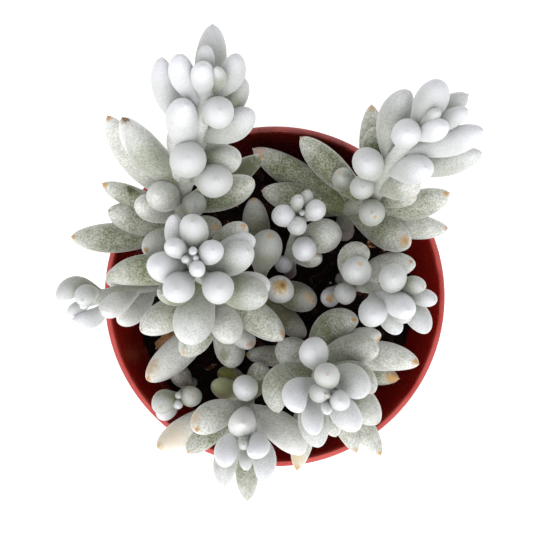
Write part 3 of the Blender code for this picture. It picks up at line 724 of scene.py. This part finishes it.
def stem_points(line, thick):
    """A round stem that stands in its hole in the mix, with low rings where leaves have dropped."""
    foot, top = thick[0] / 2, thick[1] / 2
    centres = np.vstack([line[0] - STEM_DEPTH * UP, line[0] - 0.4 * STEM_DEPTH * UP, line])
    count = len(line)
    radii = np.concatenate([[foot, foot], np.linspace(foot, top, count)])
    knuckles = 1 + KNUCKLE_RISE * np.sin(np.arange(count) * 2.2) * np.minimum(1, np.arange(count) / 4)
    radii[2:] *= np.minimum(knuckles, LARGEST_KNUCKLE)
    radii = np.append(radii, top * STEM_END)
    end = unit(line[-1] - line[-2])
    centres = np.vstack([centres, line[-1] + end * top * 0.6])
    along = unit(np.gradient(centres, axis=0))
    side = unit(np.cross(np.array([0.0, 1.0, 0.0])[None, :], along))
    spokes = spokes_round(side, np.cross(along, side), STEM_SIDES)
    points = (centres[:, None, :] + spokes * radii[:, None, None]).reshape(-1, 3)
    return np.vstack([points, centres[0], centres[-1] + end * top * 0.35]), len(centres)


# A felt of hair over green flesh. Wool says how much hair is left, with painted light in it too, Worn how
# patchy it is, Along how near the tip a place is, Earth how brown the flesh is and Bark where a stem is
# bare wood.
felted, given, gives = shared_effect(
    "felted_skin",
    {"Place": ("Vector", None), "Wool": ("Float", 0.8), "Worn": ("Float", 0.5), "Along": ("Float", 0.5),
     "Earth": ("Float", 0.0), "Bark": ("Float", 0.0), "White": ("Color", (1, 1, 1, 1)),
     "Aged": ("Color", (1, 1, 0.9, 1)), "Green": ("Color", (0, 1, 0, 1)),
     "Brown": ("Color", (0.3, 0.2, 0.1, 1))},
    {"Colour": "Color", "Roughness": "Float", "Height": "Float"})
speckle = span(felted, grain(felted, given["Place"], 1900, 3, 0.65), 0.36, 0.64, -0.5, 0.5)
patches = span(felted, grain(felted, given["Place"], 330, 2), 0.32, 0.68, -0.5, 0.5)
hairs = grain(felted, given["Place"], 5200, 2, 0.6)
bare = calc(felted, "SUBTRACT", 1.0, given["Wool"])
speck_depth = calc(felted, "MULTIPLY_ADD", given["Worn"], 0.42, 0.04)
patch_depth = calc(felted, "MULTIPLY", given["Worn"], 0.20)
# Tips are whiter, from thicker felt and from a painted highlight on each tip
tip_highlight_room = calc(felted, "ADD", bare, 0.15)
tip_felt_and_highlight = calc(felted, "MULTIPLY", span(felted, given["Along"], 0.66, 0.99, -0.05, 0.42), tip_highlight_room)
roots = calc(felted, "MULTIPLY", span(felted, given["Along"], 0.45, 0.0, 0.0, 0.30), bare)
cover = calc(felted, "MULTIPLY_ADD", speckle, speck_depth, given["Wool"])
cover = calc(felted, "MULTIPLY_ADD", patches, patch_depth, cover)
cover = calc(felted, "ADD", cover, tip_felt_and_highlight)
cover = calc(felted, "SUBTRACT", cover, roots, clamp=True)
flesh = mixed(felted, given["Earth"], given["Green"], given["Brown"])
felt = mixed(felted, span(felted, given["Worn"], 0.18, 0.80), given["White"], given["Aged"])
skin_colour = mixed(felted, cover, flesh, felt)
bark_colour = mixed(felted, calc(felted, "ADD", speckle, 0.5), DARK_BARK, LIGHT_BARK)
link(felted, gives, {
    "Colour": mixed(felted, given["Bark"], skin_colour, bark_colour),
    "Roughness": span(felted, hairs, 0.3, 0.7, 0.56, 0.84),
    "Height": calc(felted, "MULTIPLY_ADD", speckle, 0.6, hairs)})

# A soft-edged mark on the skin, round a place, such as a dried tip, a scarred spot, or a patch of painted
# shade or painted light
marked, given, gives = shared_effect(
    "skin_mark", {"Place": ("Vector", None), "Middle": ("Vector", None), "Size": ("Float", 0.001)},
    {"Mask": "Float"})
ragged = calc(marked, "SUBTRACT", grain(marked, given["Place"], 900, 3), 0.5)
apart = node(marked, "VectorMath", {0: given["Place"], 1: given["Middle"]}, operation="DISTANCE")
apart = calc(marked, "DIVIDE", apart.outputs["Value"], given["Size"])
edge = calc(marked, "MULTIPLY_ADD", ragged, 1.3, apart)
marked.links.new(span(marked, edge, 1.05, 0.25), gives["Mask"])


def felt_material(name, white, aged, green, brown):
    """Felted leaf skin with its marks, from what is stored at each point of a shoot."""
    made, tree, shader, place = new_material(name)

    def stored(title, output="Fac"):
        """What is stored on the mesh under this title."""
        return node(tree, "Attribute", attribute_name=title).outputs[output]

    skin = node(tree, "Group", {
        "Place": place, "Wool": stored("wool"), "Worn": stored("worn"), "Along": stored("along"),
        "Earth": stored("earth"), "Bark": stored("bark"), "White": white, "Aged": aged, "Green": green,
        "Brown": brown}, node_tree=felted)
    colour = skin.outputs["Colour"]
    for which in ("blush", "scar"):
        spot = node(tree, "Group", {
            "Place": place, "Middle": stored(which + "_at", "Vector"), "Size": stored(which + "_size")},
            node_tree=marked)
        colour = mixed(tree, spot.outputs["Mask"], colour, stored(which + "_colour", "Color"))
    finish_surface(tree, shader, skin, 0.45, 0.12, 0.30, colour)
    shader.inputs["Sheen Weight"].default_value = 0.8
    shader.inputs["Sheen Roughness"].default_value = 0.45
    return made


leaf_felt = felt_material("leaf_felt", WOOL_WHITE, WOOL_AGED, FLESH_GREEN, FLESH_EARTH)


def skin_at(count, wool, worn, along, earth, bark, spots):
    """What the felt's material reads at each point: one value for all points, or one for each. Spots
    are at most two marks, each with its middle, its size and its colour."""
    spots = spots + [(np.zeros(3), UNMARKED, TAN)] * (2 - len(spots))
    values = {"wool": wool, "worn": worn, "along": along, "earth": earth, "bark": bark}
    for which, (middle, size, tint) in zip(("blush", "scar"), spots):
        values[which + "_at"] = [middle * MM]
        values[which + "_size"] = size * MM
        values[which + "_colour"] = [tint]
    shapes = {title: (count, *np.shape(value)[1:]) for title, value in values.items()}
    return {title: np.broadcast_to(value, shapes[title]) for title, value in values.items()}


def store(thing, parts):
    """Store those values on the mesh, as numbers, places or colours."""
    kinds = {"at": ("FLOAT_VECTOR", "vector"), "colour": ("FLOAT_COLOR", "color")}
    for title in parts[0]:
        kind, field = kinds.get(title.split("_")[-1], ("FLOAT", "value"))
        values = np.concatenate([part[title] for part in parts]).ravel()
        thing.data.attributes.new(title, kind, "POINT").data.foreach_set(field, values)


def leafy_shoot(name, stem, thick, upright, spread, under, wool, marks=None, look=leaf_felt):
    """One leafy stem. Stem rows are (x, y, height) and leaf rows are x, y, tip height, root height, width
    and sweep, as in seen. Each digit of the wool words says how white a leaf looks, 9 being the whitest,
    and a dash stands for no leaves; a digit holds the felt's own whiteness and painted light together.
    Marks are listed by the kind of leaf: the leaf's number, x, y, size and colour. The tip of an unmarked
    leaf with little felt has dried to tan."""
    draw = random.Random(len(name) * 31 + len(spread))
    line = smooth_line([seen(*row) for row in stem], STEM_STEPS)
    stalk, count = stem_points(line, thick)
    bark = np.clip((BARK_TOP - stalk[:, 2]) / BARK_FADE, 0, 1)
    stalk_wool = np.clip(0.30 + (stalk[:, 2] - POT_HEIGHT) / 110, *STALK_WOOL)
    points, faces = [stalk], rings_to_faces(count, STEM_SIDES)
    skin = [skin_at(len(stalk), stalk_wool, 0.5, 0.5, bark, bark, [])]
    first = len(stalk)
    rows = {"upright": upright, "spread": spread, "under": under}
    for kind, kind_digits in zip(rows, wool.replace("-", "").split(" ")):
        for number, (row, digit) in enumerate(zip(rows[kind], kind_digits, strict=True)):
            # A leaf's whiteness holds painted light as well as its felt: some leaves deep in the shade are
            # whiter, and some in full light greyer, than their felt alone makes them
            whiteness = int(digit) / 9
            point = 0.25 + 0.35 * (1 - whiteness)
            leaf, share, faces_up, young = leaf_points(line, kind, row, point, draw)
            spots = []
            for marked_leaf, x, y, size, tint in (marks or {}).get(kind, ()):
                if marked_leaf == number:
                    away = np.linalg.norm(plan(leaf) - (x, y), axis=1) + np.where(faces_up, 0, 99)
                    spots.append((leaf[np.argmin(away)], size, tint))
            if not spots and whiteness < (0.25 if kind == "upright" else 0.5):
                spots.append((leaf[-1], 0.45 + 0.6 * (0.7 - whiteness), TAN))
            # Old leaves are the patchiest, high ones are spared, and those rooted deepest are brownish
            high = float(np.clip((row[2] - SHELTERED_HEIGHT) / SHELTERED_RANGE, 0, 1))
            worn = (1 - 0.85 * young) * (1 - 0.2 * whiteness) * (1 - 0.65 * high)
            earth = np.clip(-(row[3] + EARTHY_DEPTH) / EARTHY_RANGE, 0, 1)
            skin.append(skin_at(len(leaf), FULL_WOOL * whiteness, worn, share, earth, 0, spots))
            points.append(leaf)
            faces += [[first + k for k in face] for face in LEAF_FACES]
            first += len(leaf)
    shoot = put(name.replace("shoot", "leafy"), np.vstack(points), faces)
    store(shoot, skin)
    shoot.data.materials.append(look)
    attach(shoot, "root")
    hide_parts(name)


leafy_shoot(
    "shoot_back_left",
    stem=[
        (-29, 11, -25), (-29.5, 15, -10), (-29, 20, 3), (-27.5, 29, 16), (-23.5, 41, 34), (-21.2, 53, 46),
        (-19.7, 60.5, 53)],
    thick=(6.0, 3.6),
    upright=[
        (-16.4, 54, 60, 44, 9.3), (-25.3, 40, 50, 29, 10.8), (-17.5, 34, 46, 25, 10.3),
        (-23.5, 27, 28, 12, 7.2)],
    spread=[
        (-18.1, 80.2, 50, 44, 9.2, -0.5), (-20.3, 73.9, 59, 51, 5.4), (-21.2, 69.1, 63, 49, 7.2),
        (-28.2, 71.6, 59, 48, 8, 1.5), (-33.2, 70.4, 51, 41, 8, 3), (-10.8, 71.9, 57, 50, 7.8, -2),
        (-8.3, 64.2, 48, 43, 7.4, -1.6), (-5.8, 55, 50, 40, 9.3, -1.4), (-9.3, 40.7, 42, 29, 9.8, 0.6),
        (-5.6, 34.2, 28, 13, 9.4, -1), (-3.2, 41.2, 14, 10, 7.4), (-42.5, 50.6, 36, 22, 10, 1.8),
        (-45, 52.7, 30, 25, 9.4, 2), (-49.1, 53, 24, 15, 9.4, 2), (-37.6, 30.2, 32, 15, 9.2),
        (-41, 27.8, 26, 8, 8.4), (-50.5, 33, 17, 8, 6.4), (-49.3, 25.3, 15, 3, 8.8, 0.5),
        (-59.8, 17.4, 12, 2, 9.2, 1), (-15.3, 21, 8, -5, 7.4, 0.8), (-38.4, 12, 15, 3, 7.2, -0.4),
        (-26, 58.2, 58, 34, 9.9, 2), (-17.1, 67.5, 62, 51, 3.8, -2)],
    under=[
        (-17.8, 74, 40, 42, 7), (-28.5, 65, 37, 38, 7.2), (-12, 61, 37, 36, 7), (-29.5, 51, 31, 26, 7.6),
        (-13.5, 49, 28, 24, 7.6)],
    wool="5430 55787635220497553431973 55594",
    marks={
        "upright": [(3, -25, 24.8, 0.5, TAN)],
        # The dark olive patch on spread leaf 10 is painted shade
        "spread": [(10, -3.5, 41, 1.7, ORANGE), (10, -8.5, 38, 7, PAINTED_SHADE_OLIVE),
            (12, -43.6, 52, 2.0, BROWN), (13, -48.6, 52.6, 1.4, ORANGE), (16, -50, 32.7, 1.4, ORANGE),
            (16, -42.3, 31.2, 1.9, MOSS), (17, -48.8, 25.6, 0.9, BROWN), (18, -59.4, 17.4, 1.1, ORANGE),
            (19, -17, 20.3, 1.9, TAN), (20, -37.6, 13.5, 1.0, ORANGE)]})


# Middle-left shoot
# A tall upright stem, rooted in the mix and seen from its tip. Its smallest felted leaves stand in
# the middle of the crown, and the ring of large ones hangs round it.
leafy_shoot(
    "shoot_middle_left",
    stem=[(-16, -8, -25), (-17, -6, -8), (-18.5, 0, 10), (-22, 7, 27), (-24.5, 11.3, 39)],
    thick=(6.0, 3.6),
    upright=[
        (-26.1, 10.8, 46, 38, 2.4), (-23.9, 13.3, 46, 38, 2.6), (-23, 11.2, 45, 38, 1.8),
        (-22.6, 8, 47, 37, 4.9), (-18.5, 13, 46, 34, 7.4), (-29.3, 14.3, 47, 35, 6.1),
        (-23.9, 20, 46, 31, 8.7), (-28.4, 2.4, 47, 30, 9.2), (-16.5, 2.3, 46, 28, 9.4),
        (-32.8, 8.7, 43, 26, 9.6)],
    spread=[
        (-5.9, 14.2, 41, 26, 9.8), (-29.8, 24.3, 39, 27, 7, 1.7), (-35, 1.8, 33, 22, 7.5, 2),
        (-1.5, -0.8, 36, 21, 10.8), (-8.1, 21.6, 33, 18, 9.2, 1.4), (-5.3, 17.2, 35, 21, 8.6, 2),
        (-0.7, 3.4, 28, 16, 8.5), (-26.5, -14.7, 32, 18, 11.9), (-27.2, -17.9, 20, 9, 9.4, 1),
        (-37.7, -24.8, 7, -9, 9.6), (-39.8, -10.4, 25, 14, 9.5), (-12.8, -14.4, 23, 8, 9.8, 1),
        (3, -13, 16, 10, 9.6, 1.4), (-49.6, 5, 24, 18, 9.2, -3.5), (-6.3, -15.3, 4, -10, 6.6, 0.8),
        (-12, -21.4, 0, -13, 9, 0.8)],
    under=[(-28, -6, 14, 4, 7.6), (-9, 7, 20, 10, 7.6), (-27, 13, 25, 14, 7.4)],
    wool="4767664556 4602289639574297 444",
    marks={
        # The dark olive patch on spread leaf 2 is painted shade
        "spread": [(2, -32.5, 3.6, 3.7, PAINTED_SHADE_OLIVE), (4, -8.7, 21, 1.7, ORANGE),
            (8, -26.8, -16.7, 1.3, TAN), (9, -36.8, -20.6, 3.8, TAN), (9, -37.3, -24.4, 1.8, ORANGE),
            (10, -39.3, -10.4, 1.0, PINK), (12, 2.4, -11.2, 1.5, ORANGE), (13, -48.8, 6.4, 1.2, TAN),
            # The dun patch on spread leaf 15 is painted shade for two folds near its tip
            (14, -6.9, -14.2, 1.9, PINK), (15, -15.0, -17.1, 2.9, PAINTED_FOLD_SHADE)]})


# Left shoot
# A thin stem, rooted in the mix, that creeps out over the left of the lip and ends in a loose tuft
# of white felted leaves.
leafy_shoot(
    "shoot_left",
    stem=[(-34, 2, -25), (-35, 3, -12), (-38, 3, 0), (-44, 2, 12), (-50, 0.4, 19), (-53, -0.8, 22)],
    thick=(4.6, 2.8),
    upright=[],
    spread=[
        (-64.4, -0.7, 26, 19, 6.5, -3), (-58.3, -1.7, 31, 19, 6.1, -1.4), (-57, -3.2, 28, 22, 2.6),
        (-61.1, -5.2, 24, 21, 4), (-59.8, -7.3, 25, 17, 5.8, 2.8), (-50.9, -5.6, 24, 3, 8.2, -0.8),
        (-46, -8, 10, -8, 7.4, 0.8), (-49.7, 4.8, 11, -6, 7.8, -1.4)],
    under=[(-58.5, -1.5, 15, 15, 5)],
    wool="- 44867996 7")


# Front-left shoot
# A young sprig, rooted in the mix, that has only just reached the lip. It has few leaves, as round
# and thickly felted as all young ones.
leafy_shoot(
    "shoot_front_left",
    stem=[(-24.3, -25.3, -25), (-26, -27.4, -10), (-28, -29.6, 3)],
    thick=(3.4, 2.4),
    upright=[(-24.4, -29.4, 10, -1, 6.2), (-28.1, -29, 9, 3, 2.2)],
    spread=[
        (-35.4, -33.7, 11, -1, 7, -1), (-34.2, -35.8, 8, -3, 5.6), (-28.6, -33, 9, 2, 3),
        (-29.4, -20.8, -5, -17, 6)],
    under=[],
    wool="01 1952 -")


# Front shoot
# A bent stem, rooted in the mix, that leans over the lip at the front. Old tan-tipped leaves grow low on
# its left side, and two of its leaves in the shade are almost bare and olive, painted lighter than their
# flesh as painted light.
leafy_shoot(
    "shoot_front",
    stem=[(-8, -27, -25), (-8, -29.5, -12), (-8.2, -32.5, 3), (-8.5, -37, 16), (-9.2, -43, 27)],
    thick=(5.0, 3.0),
    upright=[(-8.6, -26.7, 22, -4, 7.6)],
    spread=[
        (-4.3, -18.8, 3, -10, 7.2, -1.2), (-15.3, -50.4, 31, 20, 7.1, -1.5), (-7, -48.1, 34, 21, 6.5, 3),
        (-3.7, -54.8, 27, 17, 7.2, 2.5), (-9, -45, 33, 26, 2.9), (-8.2, -51.2, 30, 25, 4),
        (-14.9, -56, 22, 16, 7.4, -2), (-8, -60.1, 16, 12, 7.3), (-24.2, -39.9, 20, 5, 9.4, -2),
        (-25.8, -46.2, 12, 1, 8, -1), (-34.9, -44.3, 12.5, -1, 9.6), (-18.7, -25.1, -2, -13, 6.4, 0.4),
        (-17, -21.7, -9, -17, 6.2, -1), (9, -46.3, 18, 4, 9.5, 1.3), (-10.7, -41.4, 31, 3, 8.1)],
    under=[(-15.5, -48, 14, 15, 6.4), (-2.5, -47.5, 15, 14, 6.4)],
    wool="5 087735536399999 59",
    marks={
        "spread": [(8, -22.7, -38.7, 1.2, ORANGE), (8, -24.8, -35.8, 3.6, TAN),
            (9, -25.4, -45.7, 1.0, TAN), (10, -34.2, -43.6, 3.6, AMBER), (10, -30.6, -40.6, 7.5, PEACH),
            # Spread leaves 11 and 12 are olive all over, painted lighter than their flesh as painted light
            (11, -14.5, -26.5, 9, PALE_OLIVE_WITH_LIGHT), (12, -16.5, -22.6, 12, OLIVE_WITH_LIGHT),
            (12, -18.4, -24.9, 0.9, TAN)]})


# Front-middle shoot
# A stout upright stem right of the front, rooted in the mix and seen from its tip. Its crown of young
# white leaves stands above rings of old ones with dry tips.
leafy_shoot(
    "shoot_front_middle",
    stem=[(11, -18, -25), (11.5, -19, -8), (12.5, -21.5, 10), (14, -26, 26), (15.2, -29, 35)],
    thick=(6.0, 3.4),
    upright=[
        (15.3, -23.2, 44, 29, 7.7), (15.5, -29, 42, 34, 1.8), (19.1, -30.6, 44, 31, 6),
        (11.5, -16.3, 36, 18, 8.9)],
    spread=[
        (13.1, -31.4, 41, 31, 6, -1.2), (15.4, -34.7, 41, 33, 3.3), (6.6, -35, 40, 23, 7.8, -4),
        (0.1, -34.8, 26, 14, 9.2, -5.6), (12, -41, 38, 27, 6.6, -1.7), (13.2, -44.9, 28, 19, 9.3, -1.8),
        (24.8, -39.6, 36, 25, 8.7), (27.3, -29.8, 36, 22, 9.6, 3), (29.8, -28.5, 28, 17, 8, 3.2),
        (30.9, -37.7, 27, 17, 9.7, 1.2), (18, -41.5, 21, 14, 7.3), (24, -45.8, 14, 8, 7, 0.4),
        (31.1, -46.4, 12, 5, 8, 0.5), (6.5, -50.9, 9, 0, 7.6), (31.1, -15.7, 24, 8, 9.6, 2.2),
        (42.5, -19.8, 12, 1, 9, 2.4), (36.6, -24.1, -1, -9, 7.5), (25.1, -6.2, 14, -2, 9.4, 4),
        (13.2, -10.3, 3, -9, 5), (31.5, -10.9, 13, 2, 8, 1), (0.2, -14.3, 8, -6, 9.5),
        (-8.6, -17, -7, -15, 6.2)],
    under=[(21, -35, 18, 15, 6.8), (5, -29.5, 16, 10, 7)],
    wool="2155 3783757534655747223954 44",
    marks={
        "spread": [(11, 23.7, -45, 1.1, TAN), (12, 31, -45.8, 1.5, ORANGE), (12, 31.2, -42.5, 1.3, TAN),
            (13, 6.5, -50.2, 1.5, ORANGE), (13, 6.2, -47.0, 3.6, STRAW), (15, 41.6, -19.3, 1.7, ORANGE),
            (16, 35, -23.9, 3.2, ORANGE), (17, 22.9, -6.8, 1.0, ORANGE), (19, 30.5, -12.4, 1.4, ORANGE),
            (21, -7.9, -17, 1.1, ORANGE)]})


# Right shoot
# A bent stem, rooted in the mix, that leans to the right inside the pot. It ends in small crowded
# leaves.
leafy_shoot(
    "shoot_right",
    stem=[(20, 5, -25), (21, 4.6, -12), (24, 3.5, 2), (29, 2.3, 14), (38, 0, 25)],
    thick=(4.8, 3.0),
    upright=[
        (24, 7.5, 25, 6, 8.7), (34.6, 5.3, 35, 17, 8.3), (28.8, -4.9, 31, 14, 8.5),
        (20.6, 0.9, 13, -2, 6.4), (16.3, -0.3, 2, -13, 5.8)],
    spread=[
        (28.3, 14.5, 15, -1, 8.4, 3.6), (44.6, 3, 31, 21, 5.8, 1), (47.8, -1.6, 31, 23, 5.4, 0.5),
        (40.9, -5.3, 36, 13, 7.8), (39.8, -7.4, 30, 20, 6, -0.6), (45.1, -11.2, 28, 19, 7.5, 1.5),
        (36.8, -11.3, 23, 13, 6.8), (41.7, 9.5, 9, -2, 8, 1.6)],
    under=[(40.5, -2, 14, 14, 6)],
    wool="43649 52593578 5",
    marks={
        "upright": [(0, 25.3, 9.8, 1.0, TAN), (4, 16.5, -0.4, 2.0, TAN), (4, 15.9, -0.9, 1.1, ORANGE)],
        "spread": [(0, 28.3, 14.2, 1.0, PINK), (7, 39.9, 10.3, 0.8, ORANGE)]})


# Back-right shoot
# A tall stem, rooted in the mix, that leans over the lip at the back right. Its lowest leaves are
# long, old and thinly felted, and lie in the shade of the pot.
leafy_shoot(
    "shoot_back_right",
    stem=[
        (20.5, 19, -25), (20.5, 21, -14), (22, 25.5, -3), (29, 29.5, 12), (33, 37.5, 26), (37, 43, 36),
        (41, 48, 43)],
    thick=(6.0, 3.4),
    upright=[
        (38.5, 47.7, 52, 34, 8.6), (28.4, 24.5, 22, 4, 7.9), (27.2, 39, 38, 18, 9.3),
        (25.6, 31.9, 26, 8, 7.2), (19.9, 34.6, 17, -3, 6.2)],
    spread=[
        (49.3, 64.2, 50, 40, 10, -0.3), (57, 59.3, 42, 37, 7.4, 0.8), (57, 54.8, 48, 41, 6),
        (48.4, 54.7, 52, 43, 4.4), (51, 50.4, 53, 40, 6.8), (39.9, 60.8, 40, 28, 9.6, 2.4),
        (61.7, 48.9, 46, 35, 8.6, -0.9), (61, 42.1, 35, 26, 8.4, -0.8), (42.9, 33.2, 32, 16, 8.9),
        (41.9, 29, 20, 7, 7.2, 0.8), (51.7, 30.3, 14, 5, 9, -2.2), (50.9, 19.8, 9, 0, 8, -1.7),
        (40.1, 14.6, 14, -3, 10.2), (29, 50, 26, 15, 7.8), (28.3, 56.2, 19, 10, 7.6, -0.4),
        (7.3, 46.8, 8, 7, 8.8), (-6.4, 43.2, -2, -2, 8.8), (-4.2, 31, 2, -3, 9),
        (46.6, 37.6, 44, 25, 9.2)],
    under=[(50, 56, 33, 33, 7), (49.5, 45.5, 28, 27, 7.2), (37.5, 50, 24, 22, 7)],
    wool="61420 6464857543473042227 554",
    marks={
        "upright": [(1, 28.7, 24.3, 0.5, BROWN), (1, 29.3, 23.2, 0.7, ORANGE),
            # The dark olive patch on the lower right of upright leaf 4 is painted shade
            (4, 18.8, 36.1, 0.9, ORANGE), (4, 22.3, 32.4, 3.8, PAINTED_SHADE_OLIVE)],
        "spread": [(9, 41, 29, 1.2, TAN), (10, 50.4, 30.2, 1.1, ORANGE), (11, 50.2, 20, 1.4, PINK),
            (12, 38, 16.5, 2.6, TAN), (12, 38.4, 16.2, 1.2, ORANGE), (14, 28.3, 55, 1.5, TAN),
            (15, 8, 46.9, 0.9, ORANGE), (16, -4.6, 42.6, 2.6, PINK), (17, -3.6, 31, 1.1, PINK)]})


# Centre shoot
# A short sprig with a whitish stem, rooted in the mix near the middle of the pot. Small round leaves
# crowd its tip.
leafy_shoot(
    "shoot_centre",
    stem=[(4.5, 7, -25), (4.5, 12, -8), (6, 18, 4), (7.6, 23.6, 13)],
    thick=(4.0, 2.4),
    upright=[
        (2.5, 23.7, 22, 9, 6.8), (12, 25.3, 22, 10, 6.1), (8, 24.5, 19, 12, 1.9), (6.5, 20.6, 21, 8, 5.7),
        (8.7, 13.8, 15, -2, 7.2), (2.6, 9.4, -5, -16, 5.2)],
    spread=[
        (7.3, 29.9, 22, 12, 4, 0.8), (10.1, 31.4, 17, 10, 4.6), (14.2, 11.5, 4, -8, 5.4, -0.6),
        (20.6, 19.3, 8, 0, 10.3)],
    under=[],
    wool="663499 3344 -",
    marks={"spread": [(2, 13, 12, 0.8, TAN)]})


# Low shoot
# A short old stump, rooted in the mix, with a few leaves in the shade. They are thinner in felt than the
# rest, and their felt colours are darker, as painted shade.
SHADED_WHITE = (0.81, 0.82, 0.83, 1)
SHADED_AGED = (0.81, 0.815, 0.79, 1)
SHADED_GREEN = (0.155, 0.170, 0.072, 1)
SHADED_EARTH = (0.195, 0.170, 0.092, 1)
leaf_felt_shaded = felt_material("leaf_felt_shaded", SHADED_WHITE, SHADED_AGED, SHADED_GREEN, SHADED_EARTH)
leafy_shoot(
    "shoot_low",
    stem=[(-4, 3, -25), (-3.8, 4.5, -3)],
    thick=(4.6, 3.6),
    upright=[(1.5, 1.9, 11, -6, 8.3)],
    spread=[
        (-0.2, 19.8, 9, -4, 10, 1.2), (-6.3, 29.4, -1, -12, 8.4), (12.9, -2.5, -2, -11, 8.8),
        (9.2, -12.2, -5, -15, 6.8, -1)],
    under=[],
    wool="9 3211 -",
    marks={
        "upright": [(0, 2.0, 3.4, 3.9, AMBER), (0, 2.4, 3.4, 1.0, BROWN)],
        "spread": [(0, -0.5, 18.8, 1.4, TAN), (1, -6.2, 28.7, 1.5, ORANGE), (2, 10, 0, 2.6, TAN),
            (2, 11.3, -1.5, 0.8, ORANGE)]},
    look=leaf_felt_shaded)


# Studio
# A plain white floor, a pale room that is brighter at the front, one wide soft light from the front,
# and a camera that looks straight down on the pot from close above it.
FLOOR_HALF = 2500.0
PAPER, PALE_PAPER = (0.90, 0.90, 0.90, 1), (0.93, 0.93, 0.93, 1)
FRONT_WALL, BACK_WALL = (1.04, 1.04, 1.05, 1), (0.54, 0.54, 0.55, 1)
FRONT_CEILING, BACK_CEILING = (0.84, 0.84, 0.85, 1), (0.48, 0.48, 0.49, 1)
WINDOW_PLACE = (-0.08, -0.74, 1.00)
WINDOW_SIZE = 1.2
WINDOW_WATTS = 9
WINDOW_AIM = (0, 0, 0.1)
FLOOR_GLOW = 0.60

floor = put("floor", [(-FLOOR_HALF, -FLOOR_HALF, 0), (FLOOR_HALF, -FLOOR_HALF, 0),
                      (FLOOR_HALF, FLOOR_HALF, 0), (-FLOOR_HALF, FLOOR_HALF, 0)], [(0, 1, 2, 3)])
paper, tree, shader, place = new_material("paper_floor")
tone = mixed(tree, grain(tree, place, 60, 3), PAPER, PALE_PAPER)
tree.links.new(tone, shader.inputs["Base Color"])
shader.inputs["Roughness"].default_value = 0.9
shader.inputs["Specular IOR Level"].default_value = 0.1
shader.inputs["Emission Color"].default_value = (1, 1, 1, 1)
shader.inputs["Emission Strength"].default_value = FLOOR_GLOW
floor.data.materials.append(paper)

window = bpy.data.lights.new("front_window", "AREA")
window.shape = "SQUARE"
window.size = WINDOW_SIZE
window.energy = WINDOW_WATTS
front_window = bpy.data.objects.new("front_window", window)
front_window.location = WINDOW_PLACE
aim = Vector(WINDOW_AIM) - Vector(WINDOW_PLACE)
front_window.rotation_euler = aim.to_track_quat("-Z", "Y").to_euler()
bpy.context.scene.collection.objects.link(front_window)

world = bpy.data.worlds.new("studio")
world.use_nodes = True
sky = world.node_tree
toward = node(sky, "SeparateXYZ", {0: node(sky, "TexCoord").outputs["Generated"]}).outputs
walls = mixed(sky, span(sky, toward[1], -0.8, 0.8), FRONT_WALL, BACK_WALL)
ceiling = mixed(sky, span(sky, toward[1], -0.22, 0.22), FRONT_CEILING, BACK_CEILING)
room = mixed(sky, span(sky, toward[2], 0.45, 0.92), walls, ceiling)
sky.links.new(room, sky.nodes["Background"].inputs["Color"])
bpy.context.scene.world = world
bpy.context.scene.view_settings.view_transform = "Standard"

# The photo is square, and the pot's middle lies right of its middle and below it
PHOTO_SIDE = 533.0
LIP_PIXELS = 171.0
LIP_MIDDLE = (274.7, 296.4)
camera_data = bpy.data.cameras.new("camera")
camera_data.sensor_fit = "HORIZONTAL"
camera_data.angle = 2 * math.atan(LIP_RADIUS / LIP_PIXELS * PHOTO_SIDE / 2 / EYE_OVER_LIP)
camera_data.shift_x = (PHOTO_SIDE / 2 - LIP_MIDDLE[0]) / PHOTO_SIDE
camera_data.shift_y = (LIP_MIDDLE[1] - PHOTO_SIDE / 2) / PHOTO_SIDE
camera_data.clip_start = 0.01
camera = bpy.data.objects.new("camera", camera_data)
camera.location = (0, 0, (POT_HEIGHT + EYE_OVER_LIP) * MM)
bpy.context.scene.collection.objects.link(camera)
bpy.context.scene.camera = camera
